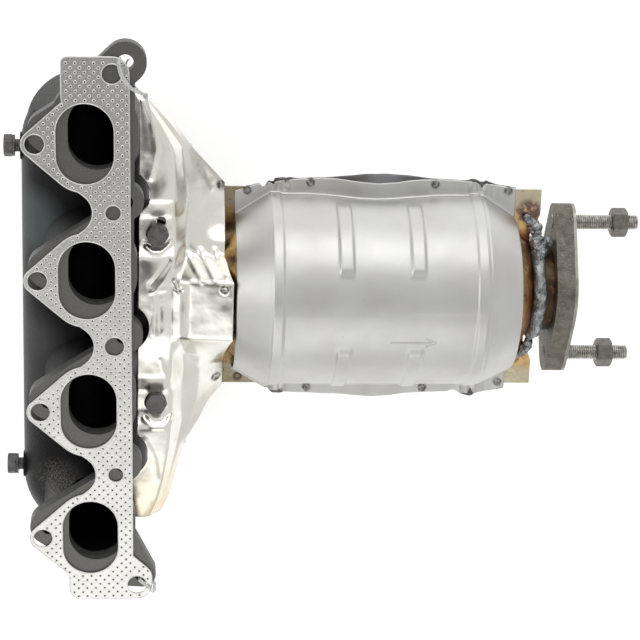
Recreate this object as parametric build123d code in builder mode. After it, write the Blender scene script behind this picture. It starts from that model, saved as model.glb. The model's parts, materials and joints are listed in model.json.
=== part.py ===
"""Four-cylinder exhaust manifold with its close-coupled catalytic converter.

Units are millimetres.  The origin is on the machined face of the head flange,
midway along the line of the four lobe studs.  +Z leaves the head face, +X runs
along the converter towards its outlet and +Y runs along the row of ports.
"""
import math
import os

from build123d import *

os.makedirs("parts", exist_ok=True)

# Head flange and its ports
PORT_PITCH = 88.0
PORT_COUNT = 4
PORT_X = 31.0            # lobe stud line to port line
PORT_WIDTH = 36.5
PORT_HEIGHT = 46.6
ROW_X = 48.0             # lobe stud line to the right-hand row of holes
EAR_X = 61.2
EAR_Y = -166.5
STUD_HOLE = 10.5
FLANGE_THICKNESS = 12.0
RIM = 7.0                # metal round each port
LOBE_RADIUS = 12.5
BOSS_RADIUS = 12.2
EYE_RADIUS = 13.2
EAR_RADIUS = 8.8
BAR_EDGE = 6.0           # right-hand row to the edge between its bosses
NOTCH_X = 44.5           # where the flanks of two lobes would meet
NOTCH_FILLET = 10.0

# Cast log and runners
CAST_WALL = 5.0
LOG_RADIUS = 42.0
LOG_X = 22.5
LOG_DROP = 76.0
LOG_TOP = 110.0
LOG_BOTTOM = -120.0
RUNNER_WIDTH = 78.0
RUNNER_HEIGHT = 76.0
RUNNER_DRIFT = 17.0      # how far the outer runners lean to the middle

# Head gasket, shipped loose and hanging off its place
GASKET_THICKNESS = 1.5
GASKET_HOLE = 12.8
GASKET_SMALL_HOLE = 10.2
GASKET_PORT_HEIGHT = 51.5
GASKET_RIM = 5.0
GASKET_LOBE_RADIUS = 8.3
GASKET_EDGE = 10.6
GASKET_SLIP_X = -5.9
GASKET_SLIP_Y = -7.4
GASKET_TURN = 0.77
GASKET_EAR_RADIUS = 9.8
GASKET_NOTCH_FILLET = 14.0
GASKET_LEFT = 17.0
GASKET_CORNER = 4.0

# Converter axis and can
AXIS_Y = 17.0
AXIS_DROP = 58.0
COLLECTOR_RADIUS = 38.0
COLLECTOR_END = 93.0
NECK_RADIUS = 32.0
NECK_START = 78.0
NECK_END = 98.0
SHEET = 1.0
CAN_RADIUS = 51.0
CAN_START = 127.0
CAN_END = 301.0
CAN_SEAM = 68.0          # axis to the edge of the seam flange
CAN_SEAM_START = 104.0
CAN_SEAM_END = 324.5
OUTLET_NECK_START = 318.3
OUTLET_NECK_END = 324.0

# Bricks and their mats
MAT_THICKNESS = 4.5
BRICK_LENGTH = 74.0
BRICK_GAP = 6.0
MAT_INSET = 3.0

# Heat shield round the can
SHIELD_RADIUS = 64.5
SHIELD_START = 120.0
SHIELD_END = 307.0
SHIELD_TAPER = 19.0
SHIELD_END_RADIUS = 52.0
SHIELD_SEAM = 74.5
BEAD_WIDTH = 8.3
BEAD_HEIGHT = 1.4
BEAD_XS = (146.5, 279.3)
RIB_XS = (189.2, 235.7)
RIB_START = 17.0         # degrees above the seam
RIB_SWEEP = 50.0

# Outlet
PIPE_RADIUS = 28.5
PIPE_WALL = 2.0
PIPE_START = 306.0
OUTLET_BEAD_HEIGHT = 6.8
OUTLET_BEAD_REACH = 5.5  # how far the bead spreads to each side of the joint
INLET_BEAD = 4.0
OUTLET_FLANGE_X = 333.0
OUTLET_FLANGE_THICKNESS = 12.0
OUTLET_FLANGE_RADIUS = 34.0
OUTLET_END_RADIUS = 12.5
OUTLET_GASKET_THICKNESS = 2.0
OUTLET_STUD_SPACING = 92.0
STUD_RADIUS = 5.0
STUD_SEAT_RADIUS = 4.8
STUD_LENGTH = 46.0       # flange face to stud end
NUT_WIDTH = 17.0
NUT_HEIGHT = 10.5
NUT_UPPER_X = 373.0
NUT_LOWER_X = 369.5
NUT_TURN = -17.6         # degrees from a corner pointing along +Y

OUTLET_STUD_HOLE = 10.6
END_CHAMFER = 0.8

# Bolts of size M8
BOLT_RADIUS = 4.0
BOLT_WIDTH = 13.0
BOLT_HEAD = 6.0
BOLT_COLLAR_RADIUS = 7.0
BOLT_COLLAR = 1.2
BOLT_DEPTH = 16.0
LUG_WIDTH = 18.0
LUG_WEB_DROP = 12.0      # boss face to the web that joins it to the log
SHIELD_BOLT_X = 69.0
SHIELD_BOLT_YS = (61.5, -53.2)
SHIELD_SEAT_DROP = 26.0
SIDE_BOLT_YS = (106.8, -116.3)
SIDE_BOLT_DROP = 74.0
SIDE_BOLT_STANDOFF = 3.6

# Pressed shield over the log and the collector
LIP_X = 57.0
LIP_FALL = 2.0
STRIP_FALL = 1.0
BOSS_CLEARANCE = 4.0
# Stations down the shield: Y, height of the strip beside the flange, its right
# edge, then X and Z of the foot of the step, the crest and the outer edge
SHIELD_STATIONS = [
    (149, -21, 60, (61.5, -23), (63, -24.5), (65, -27.5)),
    (134, -19, 70, (73, -24), (76, -26), (79, -29.5)),
    (118, -18, 79, (84, -27), (87, -28.5), (90, -31)),
    (88, -18, 80.5, (88, -33), (97, -40), (113.5, -56)),
    (80, -18, 80.5, (88, -33), (97, -39), (113.5, -56)),
    (76, -25, 80.5, (88, -33), (97, -37), (113.5, -50)),
    (53, -25, 80.5, (88, -31), (97, -32), (113, -32)),
    (49, -18, 80.5, (88, -30), (97, -29), (113, -29)),
    (33, -16.5, 79, (84, -16), (90, -12.5), (118, -7.5)),
    (-6, -16.5, 79, (84, -16), (90, -12.5), (118, -7.5)),
    (-22, -18, 79, (87, -29), (97, -28.5), (114.5, -33)),
    (-38, -18, 79, (87, -33), (97, -36), (114.5, -54)),
    (-42, -25, 79, (87, -33), (97, -38), (114.5, -56)),
    (-52, -25, 79, (87, -33), (97, -40), (114, -56)),
    (-63, -25, 79, (86.5, -33), (94, -38), (104, -47)),
    (-67, -18, 79, (86, -32), (92, -36), (100.5, -43)),
    (-84, -18, 78, (83, -27), (85.5, -29), (88.5, -32)),
    (-108, -18, 74, (77.5, -25), (79.5, -27), (82, -30)),
    (-122, -18.5, 70.5, (74, -25), (76, -27), (78.5, -30)),
    (-136, -20, 65, (68, -25), (70, -27.5), (73, -31)),
]

# Nylon ties through the gasket's end holes; the upper one's places are from
# the centre of the eye
TIE_RADIUS = 0.65
TIE_HEAD = (4.6, 5.4, 3.6)
TIE_HEAD_PLACE = (12.0, -22.0, -10.0)
TIE_OVER = [(-5.0, -4.0, 0.8), (-3.4, -4.8, 2.6), (2.0, -9.5, 2.6), (9.0, -16.0, 1.2), (12.0, -21.0, -8.5)]
TIE_UNDER = [(2.2, 2.0, -1.0), (2.2, 1.6, -9.0), (3.5, -4.0, -13.4), (8.5, -14.5, -13.8), (11.8, -20.8, -11.0)]
TIE_TAIL = [(12.4, -23.0, -10.5), (15.0, -34.0, -12.0), (18.5, -49.0, -15.5)]
LOOP_START = (59.6, -169.6)
LOOP_SPAN = 12.5
LOOP_ANGLE = -42.0
LOOP_STRAP = (2.2, 0.9)
LOOP_CLEARANCE = 0.3

# Worked-out places
PORT_YS = [(i - (PORT_COUNT - 1) / 2) * PORT_PITCH for i in range(PORT_COUNT)]
ROW_YS = [k * PORT_PITCH for k in (2, 1, 0, -1)]
EYE = (ROW_X, ROW_YS[0])
EAR = (EAR_X, EAR_Y)
LOG_Z = -LOG_DROP
AXIS_Z = -AXIS_DROP
CONVERTER_AXIS = Axis((0, AXIS_Y, AXIS_Z), (1, 0, 0))
SEAM = Plane(origin=(0, AXIS_Y, AXIS_Z), x_dir=(1, 0, 0), z_dir=(0, 0, 1))
GASKET_PLANE = Plane(
    origin=(GASKET_SLIP_X, GASKET_SLIP_Y, 0),
    x_dir=(math.cos(math.radians(GASKET_TURN)), math.sin(math.radians(GASKET_TURN)), 0),
    z_dir=(0, 0, 1),
)
OUTLET_FACE_X = OUTLET_FLANGE_X + OUTLET_FLANGE_THICKNESS
OUTLET_GASKET_X = OUTLET_FACE_X + OUTLET_GASKET_THICKNESS
OUTLET_STUD_YS = (AXIS_Y + OUTLET_STUD_SPACING / 2, AXIS_Y - OUTLET_STUD_SPACING / 2)
BRICK_RADIUS = CAN_RADIUS - SHEET - MAT_THICKNESS
BRICK_START = (CAN_START + CAN_END - BRICK_GAP) / 2 - BRICK_LENGTH
BRICK_XS = (BRICK_START, BRICK_START + BRICK_LENGTH + BRICK_GAP)
SIDE_LUG_X = LOG_X - LOG_RADIUS - 0.5


def keep(piece, label):
    """Name a finished piece and write its file."""
    piece.part.label = label
    export_step(piece.part, f"parts/{label}.step")


def across(x):
    """A plane square to the converter axis at x, facing the outlet."""
    return Plane(origin=(x, AXIS_Y, AXIS_Z), x_dir=(0, 1, 0), z_dir=(1, 0, 0))


def port_lobe(rim_width, rim_height, lobe_radius):
    """The rim of one port, joined to its stud lobe by straight tangents."""
    with BuildSketch() as lobe:
        with Locations((PORT_X, 0)):
            SlotOverall(rim_height, rim_width, rotation=90)
        Circle(lobe_radius)
        make_hull()
    return lobe.sketch


def lobe_flank(side, lobe_radius):
    """Straight flank from a stud lobe to the tip of the notch on one side."""
    with BuildSketch() as flank:
        Circle(lobe_radius)
        with Locations((NOTCH_X + 0.5, side * PORT_PITCH / 4)):
            Rectangle(1, PORT_PITCH / 2)
        make_hull()
    return flank.sketch


def notched_bar(right_x, lobe_radius, tip_radius):
    """The bar along the right-hand row, with notches between the stud lobes."""
    with BuildSketch() as bar:
        with Locations((NOTCH_X, PORT_YS[0])):
            Rectangle(right_x - NOTCH_X, PORT_YS[-1] - PORT_YS[0], align=(Align.MIN, Align.MIN))
        with Locations([(0, y) for y in PORT_YS[:-1]]):
            add(lobe_flank(1, lobe_radius))
        with Locations([(0, y) for y in PORT_YS[1:]]):
            add(lobe_flank(-1, lobe_radius))
        tips = bar.vertices().filter_by_position(Axis.X, NOTCH_X - 0.1, NOTCH_X + 0.1)
        fillet(tips.filter_by_position(Axis.Y, PORT_YS[0] + 1, PORT_YS[-1] - 1), tip_radius)
    return bar.sketch


def flange_outline():
    """Outline of the cast flange, with a boss at every hole."""
    with BuildSketch() as crown:
        with Locations(EYE):
            Circle(EYE_RADIUS)
        with Locations((PORT_X - 14, PORT_YS[-1] + 14)):
            Circle(EYE_RADIUS)
        make_hull()
    with BuildSketch() as foot:
        with Locations(EAR):
            Circle(EAR_RADIUS)
        with Locations((PORT_X - 2, EAR_Y + 6)):
            Circle(EAR_RADIUS + 4)
        with Locations((ROW_X + 4, EAR_Y + 24)):
            Circle(BAR_EDGE)
        make_hull()
    with BuildSketch() as outline:
        with Locations([(0, y) for y in PORT_YS]):
            add(port_lobe(PORT_WIDTH + 2 * RIM, PORT_HEIGHT + 2 * RIM, LOBE_RADIUS))
        add(notched_bar(ROW_X + BAR_EDGE, LOBE_RADIUS, NOTCH_FILLET))
        with Locations((NOTCH_X, EAR_Y + 24)):
            Rectangle(ROW_X + BAR_EDGE - NOTCH_X, EYE[1] - EAR_Y - 24, align=(Align.MIN, Align.MIN))
        with Locations([(ROW_X, y) for y in ROW_YS[1:]]):
            Circle(BOSS_RADIUS)
        add(crown.sketch)
        add(foot.sketch)
    return outline.sketch


def gasket_outline():
    """Outline of the head gasket, with square shoulders at both ends."""
    right = ROW_X + GASKET_EDGE
    with BuildSketch() as head:
        with Locations(EYE):
            Circle(GASKET_EDGE)
        with Locations([(GASKET_LEFT + GASKET_CORNER, EYE[1] + GASKET_EDGE - GASKET_CORNER),
                        (GASKET_LEFT + GASKET_CORNER, PORT_YS[-1] + PORT_HEIGHT / 2 + 5)]):
            Circle(GASKET_CORNER)
        with Locations((right - GASKET_CORNER, PORT_YS[-1])):
            Circle(GASKET_CORNER)
        make_hull()
    with BuildSketch() as tail:
        with Locations(EAR, (EAR_X, EAR_Y + 5)):
            Circle(GASKET_EAR_RADIUS)
        with Locations((GASKET_LEFT + 8, EAR_Y - GASKET_EAR_RADIUS + 8)):
            Circle(8)
        with Locations((GASKET_LEFT + GASKET_CORNER, EAR_Y + 8)):
            Circle(GASKET_CORNER)
        with Locations((right - GASKET_CORNER, EAR_Y + 19)):
            Circle(GASKET_CORNER)
        make_hull()
    with BuildSketch() as outline:
        with Locations([(0, y) for y in PORT_YS]):
            add(port_lobe(PORT_WIDTH + 2 * GASKET_RIM, GASKET_PORT_HEIGHT + 2 * GASKET_RIM, GASKET_LOBE_RADIUS))
        add(notched_bar(right, GASKET_LOBE_RADIUS, GASKET_NOTCH_FILLET))
        with Locations((NOTCH_X, EAR_Y + 19)):
            Rectangle(right - NOTCH_X, PORT_YS[-1] - EAR_Y - 19, align=(Align.MIN, Align.MIN))
        add(head.sketch)
        add(tail.sketch)
        with Locations([(PORT_X, y) for y in PORT_YS]):
            SlotOverall(GASKET_PORT_HEIGHT, PORT_WIDTH, rotation=90, mode=Mode.SUBTRACT)
        with Locations([(0, y) for y in PORT_YS] + [EYE, (ROW_X, ROW_YS[2]), EAR]):
            Circle(GASKET_HOLE / 2, mode=Mode.SUBTRACT)
        with Locations((ROW_X, ROW_YS[1]), (ROW_X, ROW_YS[3])):
            Circle(GASKET_SMALL_HOLE / 2, mode=Mode.SUBTRACT)
    return outline.sketch


def log_half(radius):
    """Half of the log's capsule in plan, ready to be turned about its axis."""
    middle = (LOG_BOTTOM + LOG_TOP) / 2
    with BuildSketch() as half:
        with Locations((LOG_X, middle)):
            SlotCenterToCenter(LOG_TOP - LOG_BOTTOM, 2 * radius, rotation=90)
            Rectangle(
                2 * radius,
                2 * (LOG_TOP - LOG_BOTTOM),
                align=(Align.MAX, Align.CENTER),
                mode=Mode.SUBTRACT,
            )
    return half.sketch


def runner_throat(y, wall):
    """Section of a runner at the head flange, wall outside the port."""
    with BuildSketch() as throat:
        with Locations((PORT_X, y)):
            SlotOverall(PORT_HEIGHT + 2 * wall, PORT_WIDTH + 2 * wall, rotation=90)
    return throat.sketch


def runner_foot(y, shrink):
    """Section of a runner in the log; the outer two lean to the middle."""
    lean = 0
    if abs(y) > PORT_PITCH:
        lean = math.copysign(RUNNER_DRIFT, y)
    with BuildSketch() as foot:
        with Locations((LOG_X, y - lean)):
            SlotOverall(
                RUNNER_HEIGHT - 2 * shrink + 10,
                RUNNER_WIDTH - 2 * shrink,
                rotation=90,
            )
    return foot.sketch


def exhaust_manifold():
    """One casting: head flange, four runners, log, collector and lugs."""
    log_axis = Axis((LOG_X, 0, LOG_Z), (0, 1, 0))
    with BuildPart() as manifold:
        with BuildSketch(Plane.XY.offset(LOG_Z)):
            add(log_half(LOG_RADIUS))
        revolve(axis=log_axis)
        with BuildSketch(across(LOG_X)):
            Circle(COLLECTOR_RADIUS)
        extrude(amount=COLLECTOR_END - LOG_X)
        for y in PORT_YS:
            with BuildSketch(Plane.XY.offset(-FLANGE_THICKNESS)):
                add(runner_throat(y, CAST_WALL))
            with BuildSketch(Plane.XY.offset(LOG_Z)):
                add(runner_foot(y, 0))
            loft()
        for y in SHIELD_BOLT_YS:
            with BuildSketch(Plane.XY.offset(LOG_Z)):
                with Locations((SHIELD_BOLT_X - LUG_WIDTH, y)):
                    SlotCenterToCenter(2 * LUG_WIDTH, LUG_WIDTH)
            extrude(amount=LOG_DROP - SHIELD_SEAT_DROP - LUG_WEB_DROP)
            with BuildSketch(Plane.XY.offset(LOG_Z)):
                with Locations((SHIELD_BOLT_X, y)):
                    Circle(LUG_WIDTH / 2)
            extrude(amount=LOG_DROP - SHIELD_SEAT_DROP)
        for y in SIDE_BOLT_YS:
            with BuildSketch(Plane(origin=(SIDE_LUG_X, y, -SIDE_BOLT_DROP), z_dir=(1, 0, 0))):
                Circle(LUG_WIDTH / 2)
            extrude(amount=BOLT_DEPTH + CAST_WALL)
        with BuildSketch(Plane.XY.offset(-FLANGE_THICKNESS)):
            add(flange_outline())
        extrude(amount=FLANGE_THICKNESS)
        with BuildSketch(Plane.XY.offset(LOG_Z)):
            add(log_half(LOG_RADIUS - CAST_WALL))
        revolve(axis=log_axis, mode=Mode.SUBTRACT)
        for y in PORT_YS:
            with BuildSketch():
                add(runner_throat(y, 0))
            with BuildSketch(Plane.XY.offset(LOG_Z)):
                add(runner_foot(y, CAST_WALL))
            loft(mode=Mode.SUBTRACT)
        with BuildSketch(across(LOG_X)):
            Circle(NECK_RADIUS - 3)
        extrude(amount=NECK_START - LOG_X, mode=Mode.SUBTRACT)
        with BuildSketch(across(NECK_START)):
            Circle(NECK_RADIUS)
        extrude(amount=COLLECTOR_END - NECK_START, mode=Mode.SUBTRACT)
        holes = [(0, y) for y in PORT_YS] + [(ROW_X, y) for y in ROW_YS] + [EAR]
        with BuildSketch():
            with Locations(holes):
                Circle(STUD_HOLE / 2)
        extrude(amount=-FLANGE_THICKNESS, mode=Mode.SUBTRACT)
        for y in SHIELD_BOLT_YS:
            with BuildSketch(Plane.XY.offset(-SHIELD_SEAT_DROP)):
                with Locations((SHIELD_BOLT_X, y)):
                    Circle(BOLT_RADIUS)
            extrude(amount=-BOLT_DEPTH, mode=Mode.SUBTRACT)
        for y in SIDE_BOLT_YS:
            with BuildSketch(side_face(y)):
                Circle(BOLT_RADIUS)
            extrude(amount=-BOLT_DEPTH, mode=Mode.SUBTRACT)
    return manifold


def side_face(y):
    """The face of a side lug, looking away from the log."""
    return Plane(origin=(SIDE_LUG_X, y, -SIDE_BOLT_DROP), x_dir=(0, 1, 0), z_dir=(-1, 0, 0))


def head_gasket():
    """Perforated-core gasket lying on the head flange."""
    with BuildPart() as gasket:
        with BuildSketch(GASKET_PLANE):
            add(gasket_outline())
        extrude(amount=GASKET_THICKNESS)
    return gasket


def hex_block(width, height):
    """A hexagon standing on XY with both rims turned to 30 degrees."""
    corner = width / math.sqrt(3)
    flat = width / 2 * 0.97
    rim = (corner - flat) * math.tan(math.radians(30))
    with BuildPart() as block:
        with BuildSketch():
            RegularPolygon(width / 2, 6, major_radius=False)
        extrude(amount=height)
        with BuildSketch(Plane.XZ):
            with BuildLine():
                Polyline(
                    (0, 0),
                    (flat, 0),
                    (corner, rim),
                    (corner, height - rim),
                    (flat, height),
                    (0, height),
                    close=True,
                )
            make_face()
        revolve(axis=Axis.Z, mode=Mode.INTERSECT)
    return block.part


def flange_bolt(face, standoff):
    """An M8 hex bolt with its collar, screwed in at right angles to a face."""
    head = face.offset(standoff)
    with BuildPart() as bolt:
        with BuildSketch(head):
            Circle(BOLT_COLLAR_RADIUS)
        extrude(amount=BOLT_COLLAR)
        with BuildSketch(head):
            Circle(BOLT_RADIUS)
        extrude(amount=-(standoff + BOLT_DEPTH - END_CHAMFER))
        chamfer(bolt.faces().sort_by(Axis(face.origin, face.z_dir))[0].edges(), END_CHAMFER)
        add(head.offset(BOLT_COLLAR).location * hex_block(BOLT_WIDTH, BOLT_HEAD))
    return bolt


def shield_section(strip_z, shoulder_x, foot, crest, edge):
    """Top line of the pressed shield across one station, from lip to edge."""
    on_seat = strip_z == SHEET - SHIELD_SEAT_DROP
    crown_x = LIP_X + (shoulder_x - LIP_X) / 8
    lip = (LIP_X, strip_z - LIP_FALL)
    crown = (crown_x, strip_z)
    shoulder = (shoulder_x, strip_z - (0 if on_seat else STRIP_FALL))
    return [lip, crown, shoulder, foot, crest, edge]


def manifold_shield():
    """Pressed sheet over the log and collector, dished round its two bolts."""
    with BuildPart() as shield:
        for y, *station in SHIELD_STATIONS:
            top = shield_section(*station)
            bottom = [(x, z - SHEET) for x, z in reversed(top)]
            with BuildSketch(Plane(origin=(0, y, 0), x_dir=(1, 0, 0), z_dir=(0, -1, 0))):
                with BuildLine():
                    Polyline(*top, *bottom, close=True)
                make_face()
        loft(ruled=True)
        with BuildSketch():
            with Locations([(ROW_X, y) for y in ROW_YS[1:]]):
                Circle(BOSS_RADIUS + BOSS_CLEARANCE)
        extrude(amount=-2 * SHIELD_SEAT_DROP, mode=Mode.SUBTRACT)
        with BuildSketch(Plane.XY.offset(-SHIELD_SEAT_DROP)):
            with Locations([(SHIELD_BOLT_X, y) for y in SHIELD_BOLT_YS]):
                Circle(BOLT_RADIUS + 0.3)
        extrude(amount=SHEET, mode=Mode.SUBTRACT)
    return shield


def can_wall():
    """Half section of the can's sheet, from inlet neck to outlet neck."""
    outlet = PIPE_RADIUS + SHEET
    outer = [
        (NECK_START, NECK_RADIUS),
        (NECK_END, NECK_RADIUS),
        (CAN_START, CAN_RADIUS),
        (CAN_END, CAN_RADIUS),
        (OUTLET_NECK_START, outlet),
        (OUTLET_NECK_END, outlet),
    ]
    inner = [(x, r - SHEET) for x, r in reversed(outer)]
    with BuildSketch() as wall:
        with BuildLine():
            Polyline(*outer, *inner, close=True)
        make_face()
    return wall.sketch


def can_hollow():
    """Half section of the space inside the can."""
    outlet = PIPE_RADIUS
    with BuildSketch() as hollow:
        with BuildLine():
            Polyline(
                (NECK_START, 0),
                (NECK_START, NECK_RADIUS - SHEET),
                (NECK_END, NECK_RADIUS - SHEET),
                (CAN_START, CAN_RADIUS - SHEET),
                (CAN_END, CAN_RADIUS - SHEET),
                (OUTLET_NECK_START, outlet),
                (CAN_SEAM_END, outlet),
                (CAN_SEAM_END, 0),
                close=True,
            )
        make_face()
    return hollow.sketch


def converter_can_front():
    """Front stamping of the can: half a barrel with its seam flanges."""
    bead = PIPE_RADIUS + OUTLET_BEAD_HEIGHT + 2
    with BuildPart() as can:
        with BuildSketch(SEAM):
            with BuildLine():
                Polyline(
                    (CAN_SEAM_START, -CAN_SEAM),
                    (CAN_SEAM_END, -CAN_SEAM),
                    (CAN_SEAM_END, -CAN_RADIUS),
                    (OUTLET_NECK_START, -bead),
                    (OUTLET_NECK_START, bead),
                    (CAN_SEAM_END, CAN_RADIUS),
                    (CAN_SEAM_END, CAN_SEAM),
                    (CAN_SEAM_START, CAN_SEAM),
                    close=True,
                )
            make_face()
        extrude(amount=SHEET)
        with BuildSketch(SEAM):
            add(can_hollow())
        revolve(axis=CONVERTER_AXIS, revolution_arc=180, mode=Mode.SUBTRACT)
        with BuildSketch(SEAM):
            add(can_wall())
        revolve(axis=CONVERTER_AXIS, revolution_arc=180)
    return can


def converter_can_rear(front):
    """Rear stamping of the can, the front one's mirror image."""
    with BuildPart() as can:
        mirror(front.part, about=SEAM)
    return can


def brick(x):
    """One ceramic catalyst brick."""
    with BuildPart() as core:
        with BuildSketch(across(x)):
            Circle(BRICK_RADIUS)
        extrude(amount=BRICK_LENGTH)
    return core


def mat(x):
    """The fibre mat wrapped round one brick."""
    with BuildPart() as wrap:
        with BuildSketch(across(x + MAT_INSET)):
            Circle(BRICK_RADIUS + MAT_THICKNESS)
            Circle(BRICK_RADIUS, mode=Mode.SUBTRACT)
        extrude(amount=BRICK_LENGTH - 2 * MAT_INSET)
    return wrap


def shield_profile(shrink):
    """Half section of the barrel inside the shield's skin, less shrink."""
    radius = SHIELD_RADIUS - shrink
    end_radius = SHIELD_END_RADIUS - shrink
    with BuildSketch() as profile:
        with BuildLine():
            Polyline(
                (SHIELD_START, 0),
                (SHIELD_START, end_radius),
                (SHIELD_START + SHIELD_TAPER, radius),
                (SHIELD_END - SHIELD_TAPER, radius),
                (SHIELD_END, end_radius),
                (SHIELD_END, 0),
                close=True,
            )
        make_face()
        with Locations([(x, radius) for x in BEAD_XS]):
            Ellipse(BEAD_WIDTH / 2, BEAD_HEIGHT)
    return profile.sketch


def rib_profile(shrink):
    """Sections of the two short ribs, less shrink."""
    with BuildSketch() as ribs:
        with Locations([(x, SHIELD_RADIUS - shrink) for x in RIB_XS]):
            Ellipse(BEAD_WIDTH / 2, BEAD_HEIGHT)
    return ribs.sketch


def rib_plane(degrees):
    """The seam plane swung up about the converter axis."""
    return SEAM.rotated((degrees, 0, 0))


def shield_barrel(shrink):
    """Solid barrel with the shield's beads and short ribs raised on it."""
    with BuildPart() as barrel:
        with BuildSketch(SEAM):
            add(shield_profile(shrink))
        revolve(axis=CONVERTER_AXIS, revolution_arc=180)
        for start in (RIB_START, 180 - RIB_START - RIB_SWEEP):
            with BuildSketch(rib_plane(start)):
                add(rib_profile(shrink))
            revolve(axis=CONVERTER_AXIS, revolution_arc=RIB_SWEEP)
    return barrel.part


def converter_shield_front():
    """Front heat-shield stamping, beaded, with a flange along each seam."""
    middle = (SHIELD_START + SHIELD_END) / 2
    with BuildPart() as shield:
        with BuildSketch(SEAM.offset(SHEET)):
            with Locations((middle, 0)):
                RectangleRounded(SHIELD_END - SHIELD_START, 2 * SHIELD_SEAM, 3)
        extrude(amount=SHEET)
        add(shield_barrel(0))
        add(shield_barrel(SHEET), mode=Mode.SUBTRACT)
        split(bisect_by=SEAM.offset(SHEET), keep=Keep.TOP)
    return shield


def converter_shield_rear(front):
    """Rear heat-shield stamping, the front one's mirror image."""
    with BuildPart() as shield:
        mirror(front.part, about=SEAM)
    return shield


def inlet_weld():
    """Fillet weld between the collector and the can's neck."""
    with BuildPart() as weld:
        with BuildSketch(SEAM):
            with BuildLine():
                Polyline(
                    (COLLECTOR_END, NECK_RADIUS),
                    (COLLECTOR_END, NECK_RADIUS + INLET_BEAD),
                    (COLLECTOR_END + INLET_BEAD, NECK_RADIUS),
                    close=True,
                )
            make_face()
        revolve(axis=CONVERTER_AXIS)
    return weld


def outlet_weld():
    """Thick bead round the joint between the can and the outlet pipe."""
    neck = PIPE_RADIUS + SHEET
    with BuildPart() as weld:
        with BuildSketch(SEAM):
            with BuildLine():
                ThreePointArc(
                    (OUTLET_NECK_END - OUTLET_BEAD_REACH, neck),
                    (OUTLET_NECK_END, PIPE_RADIUS + OUTLET_BEAD_HEIGHT),
                    (OUTLET_NECK_END + OUTLET_BEAD_REACH, PIPE_RADIUS),
                )
                Polyline(
                    (OUTLET_NECK_END + OUTLET_BEAD_REACH, PIPE_RADIUS),
                    (OUTLET_NECK_END, PIPE_RADIUS),
                    (OUTLET_NECK_END, neck),
                    (OUTLET_NECK_END - OUTLET_BEAD_REACH, neck),
                )
            make_face()
        revolve(axis=CONVERTER_AXIS)
    return weld


def outlet_pipe():
    """Short tube from the can's neck to the outlet flange's face."""
    with BuildPart() as pipe:
        with BuildSketch(across(PIPE_START)):
            Circle(PIPE_RADIUS)
            Circle(PIPE_RADIUS - PIPE_WALL, mode=Mode.SUBTRACT)
        extrude(amount=OUTLET_FACE_X - PIPE_START)
    return pipe


def outlet_plate(start, thickness, bore, hole):
    """A two-bolt plate square to the converter axis."""
    with BuildPart() as plate:
        with BuildSketch(across(start)):
            Circle(OUTLET_FLANGE_RADIUS)
            with Locations((OUTLET_STUD_SPACING / 2, 0), (-OUTLET_STUD_SPACING / 2, 0)):
                Circle(OUTLET_END_RADIUS)
            make_hull()
            Circle(bore, mode=Mode.SUBTRACT)
            with Locations((OUTLET_STUD_SPACING / 2, 0), (-OUTLET_STUD_SPACING / 2, 0)):
                Circle(hole, mode=Mode.SUBTRACT)
        extrude(amount=thickness)
    return plate


def outlet_stud(y, nut_x):
    """A stud from the flange's back face, necked where it is engaged."""
    end = OUTLET_FACE_X + STUD_LENGTH
    with BuildPart() as stud:
        with BuildSketch(Plane(origin=(0, y, AXIS_Z), x_dir=(1, 0, 0), z_dir=(0, 0, 1))):
            with BuildLine():
                Polyline(
                    (OUTLET_FLANGE_X, 0),
                    (OUTLET_FLANGE_X, STUD_SEAT_RADIUS),
                    (OUTLET_GASKET_X, STUD_SEAT_RADIUS),
                    (OUTLET_GASKET_X, STUD_RADIUS),
                    (nut_x, STUD_RADIUS),
                    (nut_x, STUD_SEAT_RADIUS),
                    (nut_x + NUT_HEIGHT, STUD_SEAT_RADIUS),
                    (nut_x + NUT_HEIGHT, STUD_RADIUS),
                    (end - END_CHAMFER, STUD_RADIUS),
                    (end, STUD_RADIUS - END_CHAMFER),
                    (end, 0),
                    close=True,
                )
            make_face()
        revolve(axis=Axis((0, y, AXIS_Z), (1, 0, 0)))
    return stud


def outlet_nut(y, x):
    """A plain hexagon nut on a stud."""
    turn = math.radians(NUT_TURN)
    seat = Plane(origin=(x, y, AXIS_Z), x_dir=(0, math.cos(turn), math.sin(turn)), z_dir=(1, 0, 0))
    with BuildPart() as nut:
        add(seat.location * hex_block(NUT_WIDTH, NUT_HEIGHT))
        with BuildSketch(seat):
            Circle(STUD_SEAT_RADIUS)
        extrude(amount=NUT_HEIGHT, mode=Mode.SUBTRACT)
    return nut


def from_eye(x, y, z):
    """A place given from the centre of the flange's eye."""
    return (EYE[0] + x, EYE[1] + y, z)


def gasket_tie_upper():
    """Nylon tie from the gasket's top hole down behind the flange's eye."""
    with BuildPart() as tie:
        with Locations(from_eye(*TIE_HEAD_PLACE)):
            Box(*TIE_HEAD)
        for route in (TIE_OVER, TIE_UNDER, TIE_TAIL):
            with BuildLine() as path:
                Spline(*[from_eye(*place) for place in route])
            with BuildSketch(Plane(origin=path.line @ 0, z_dir=path.line % 0)):
                Circle(TIE_RADIUS)
            sweep(path=path.line)
    return tie


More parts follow.
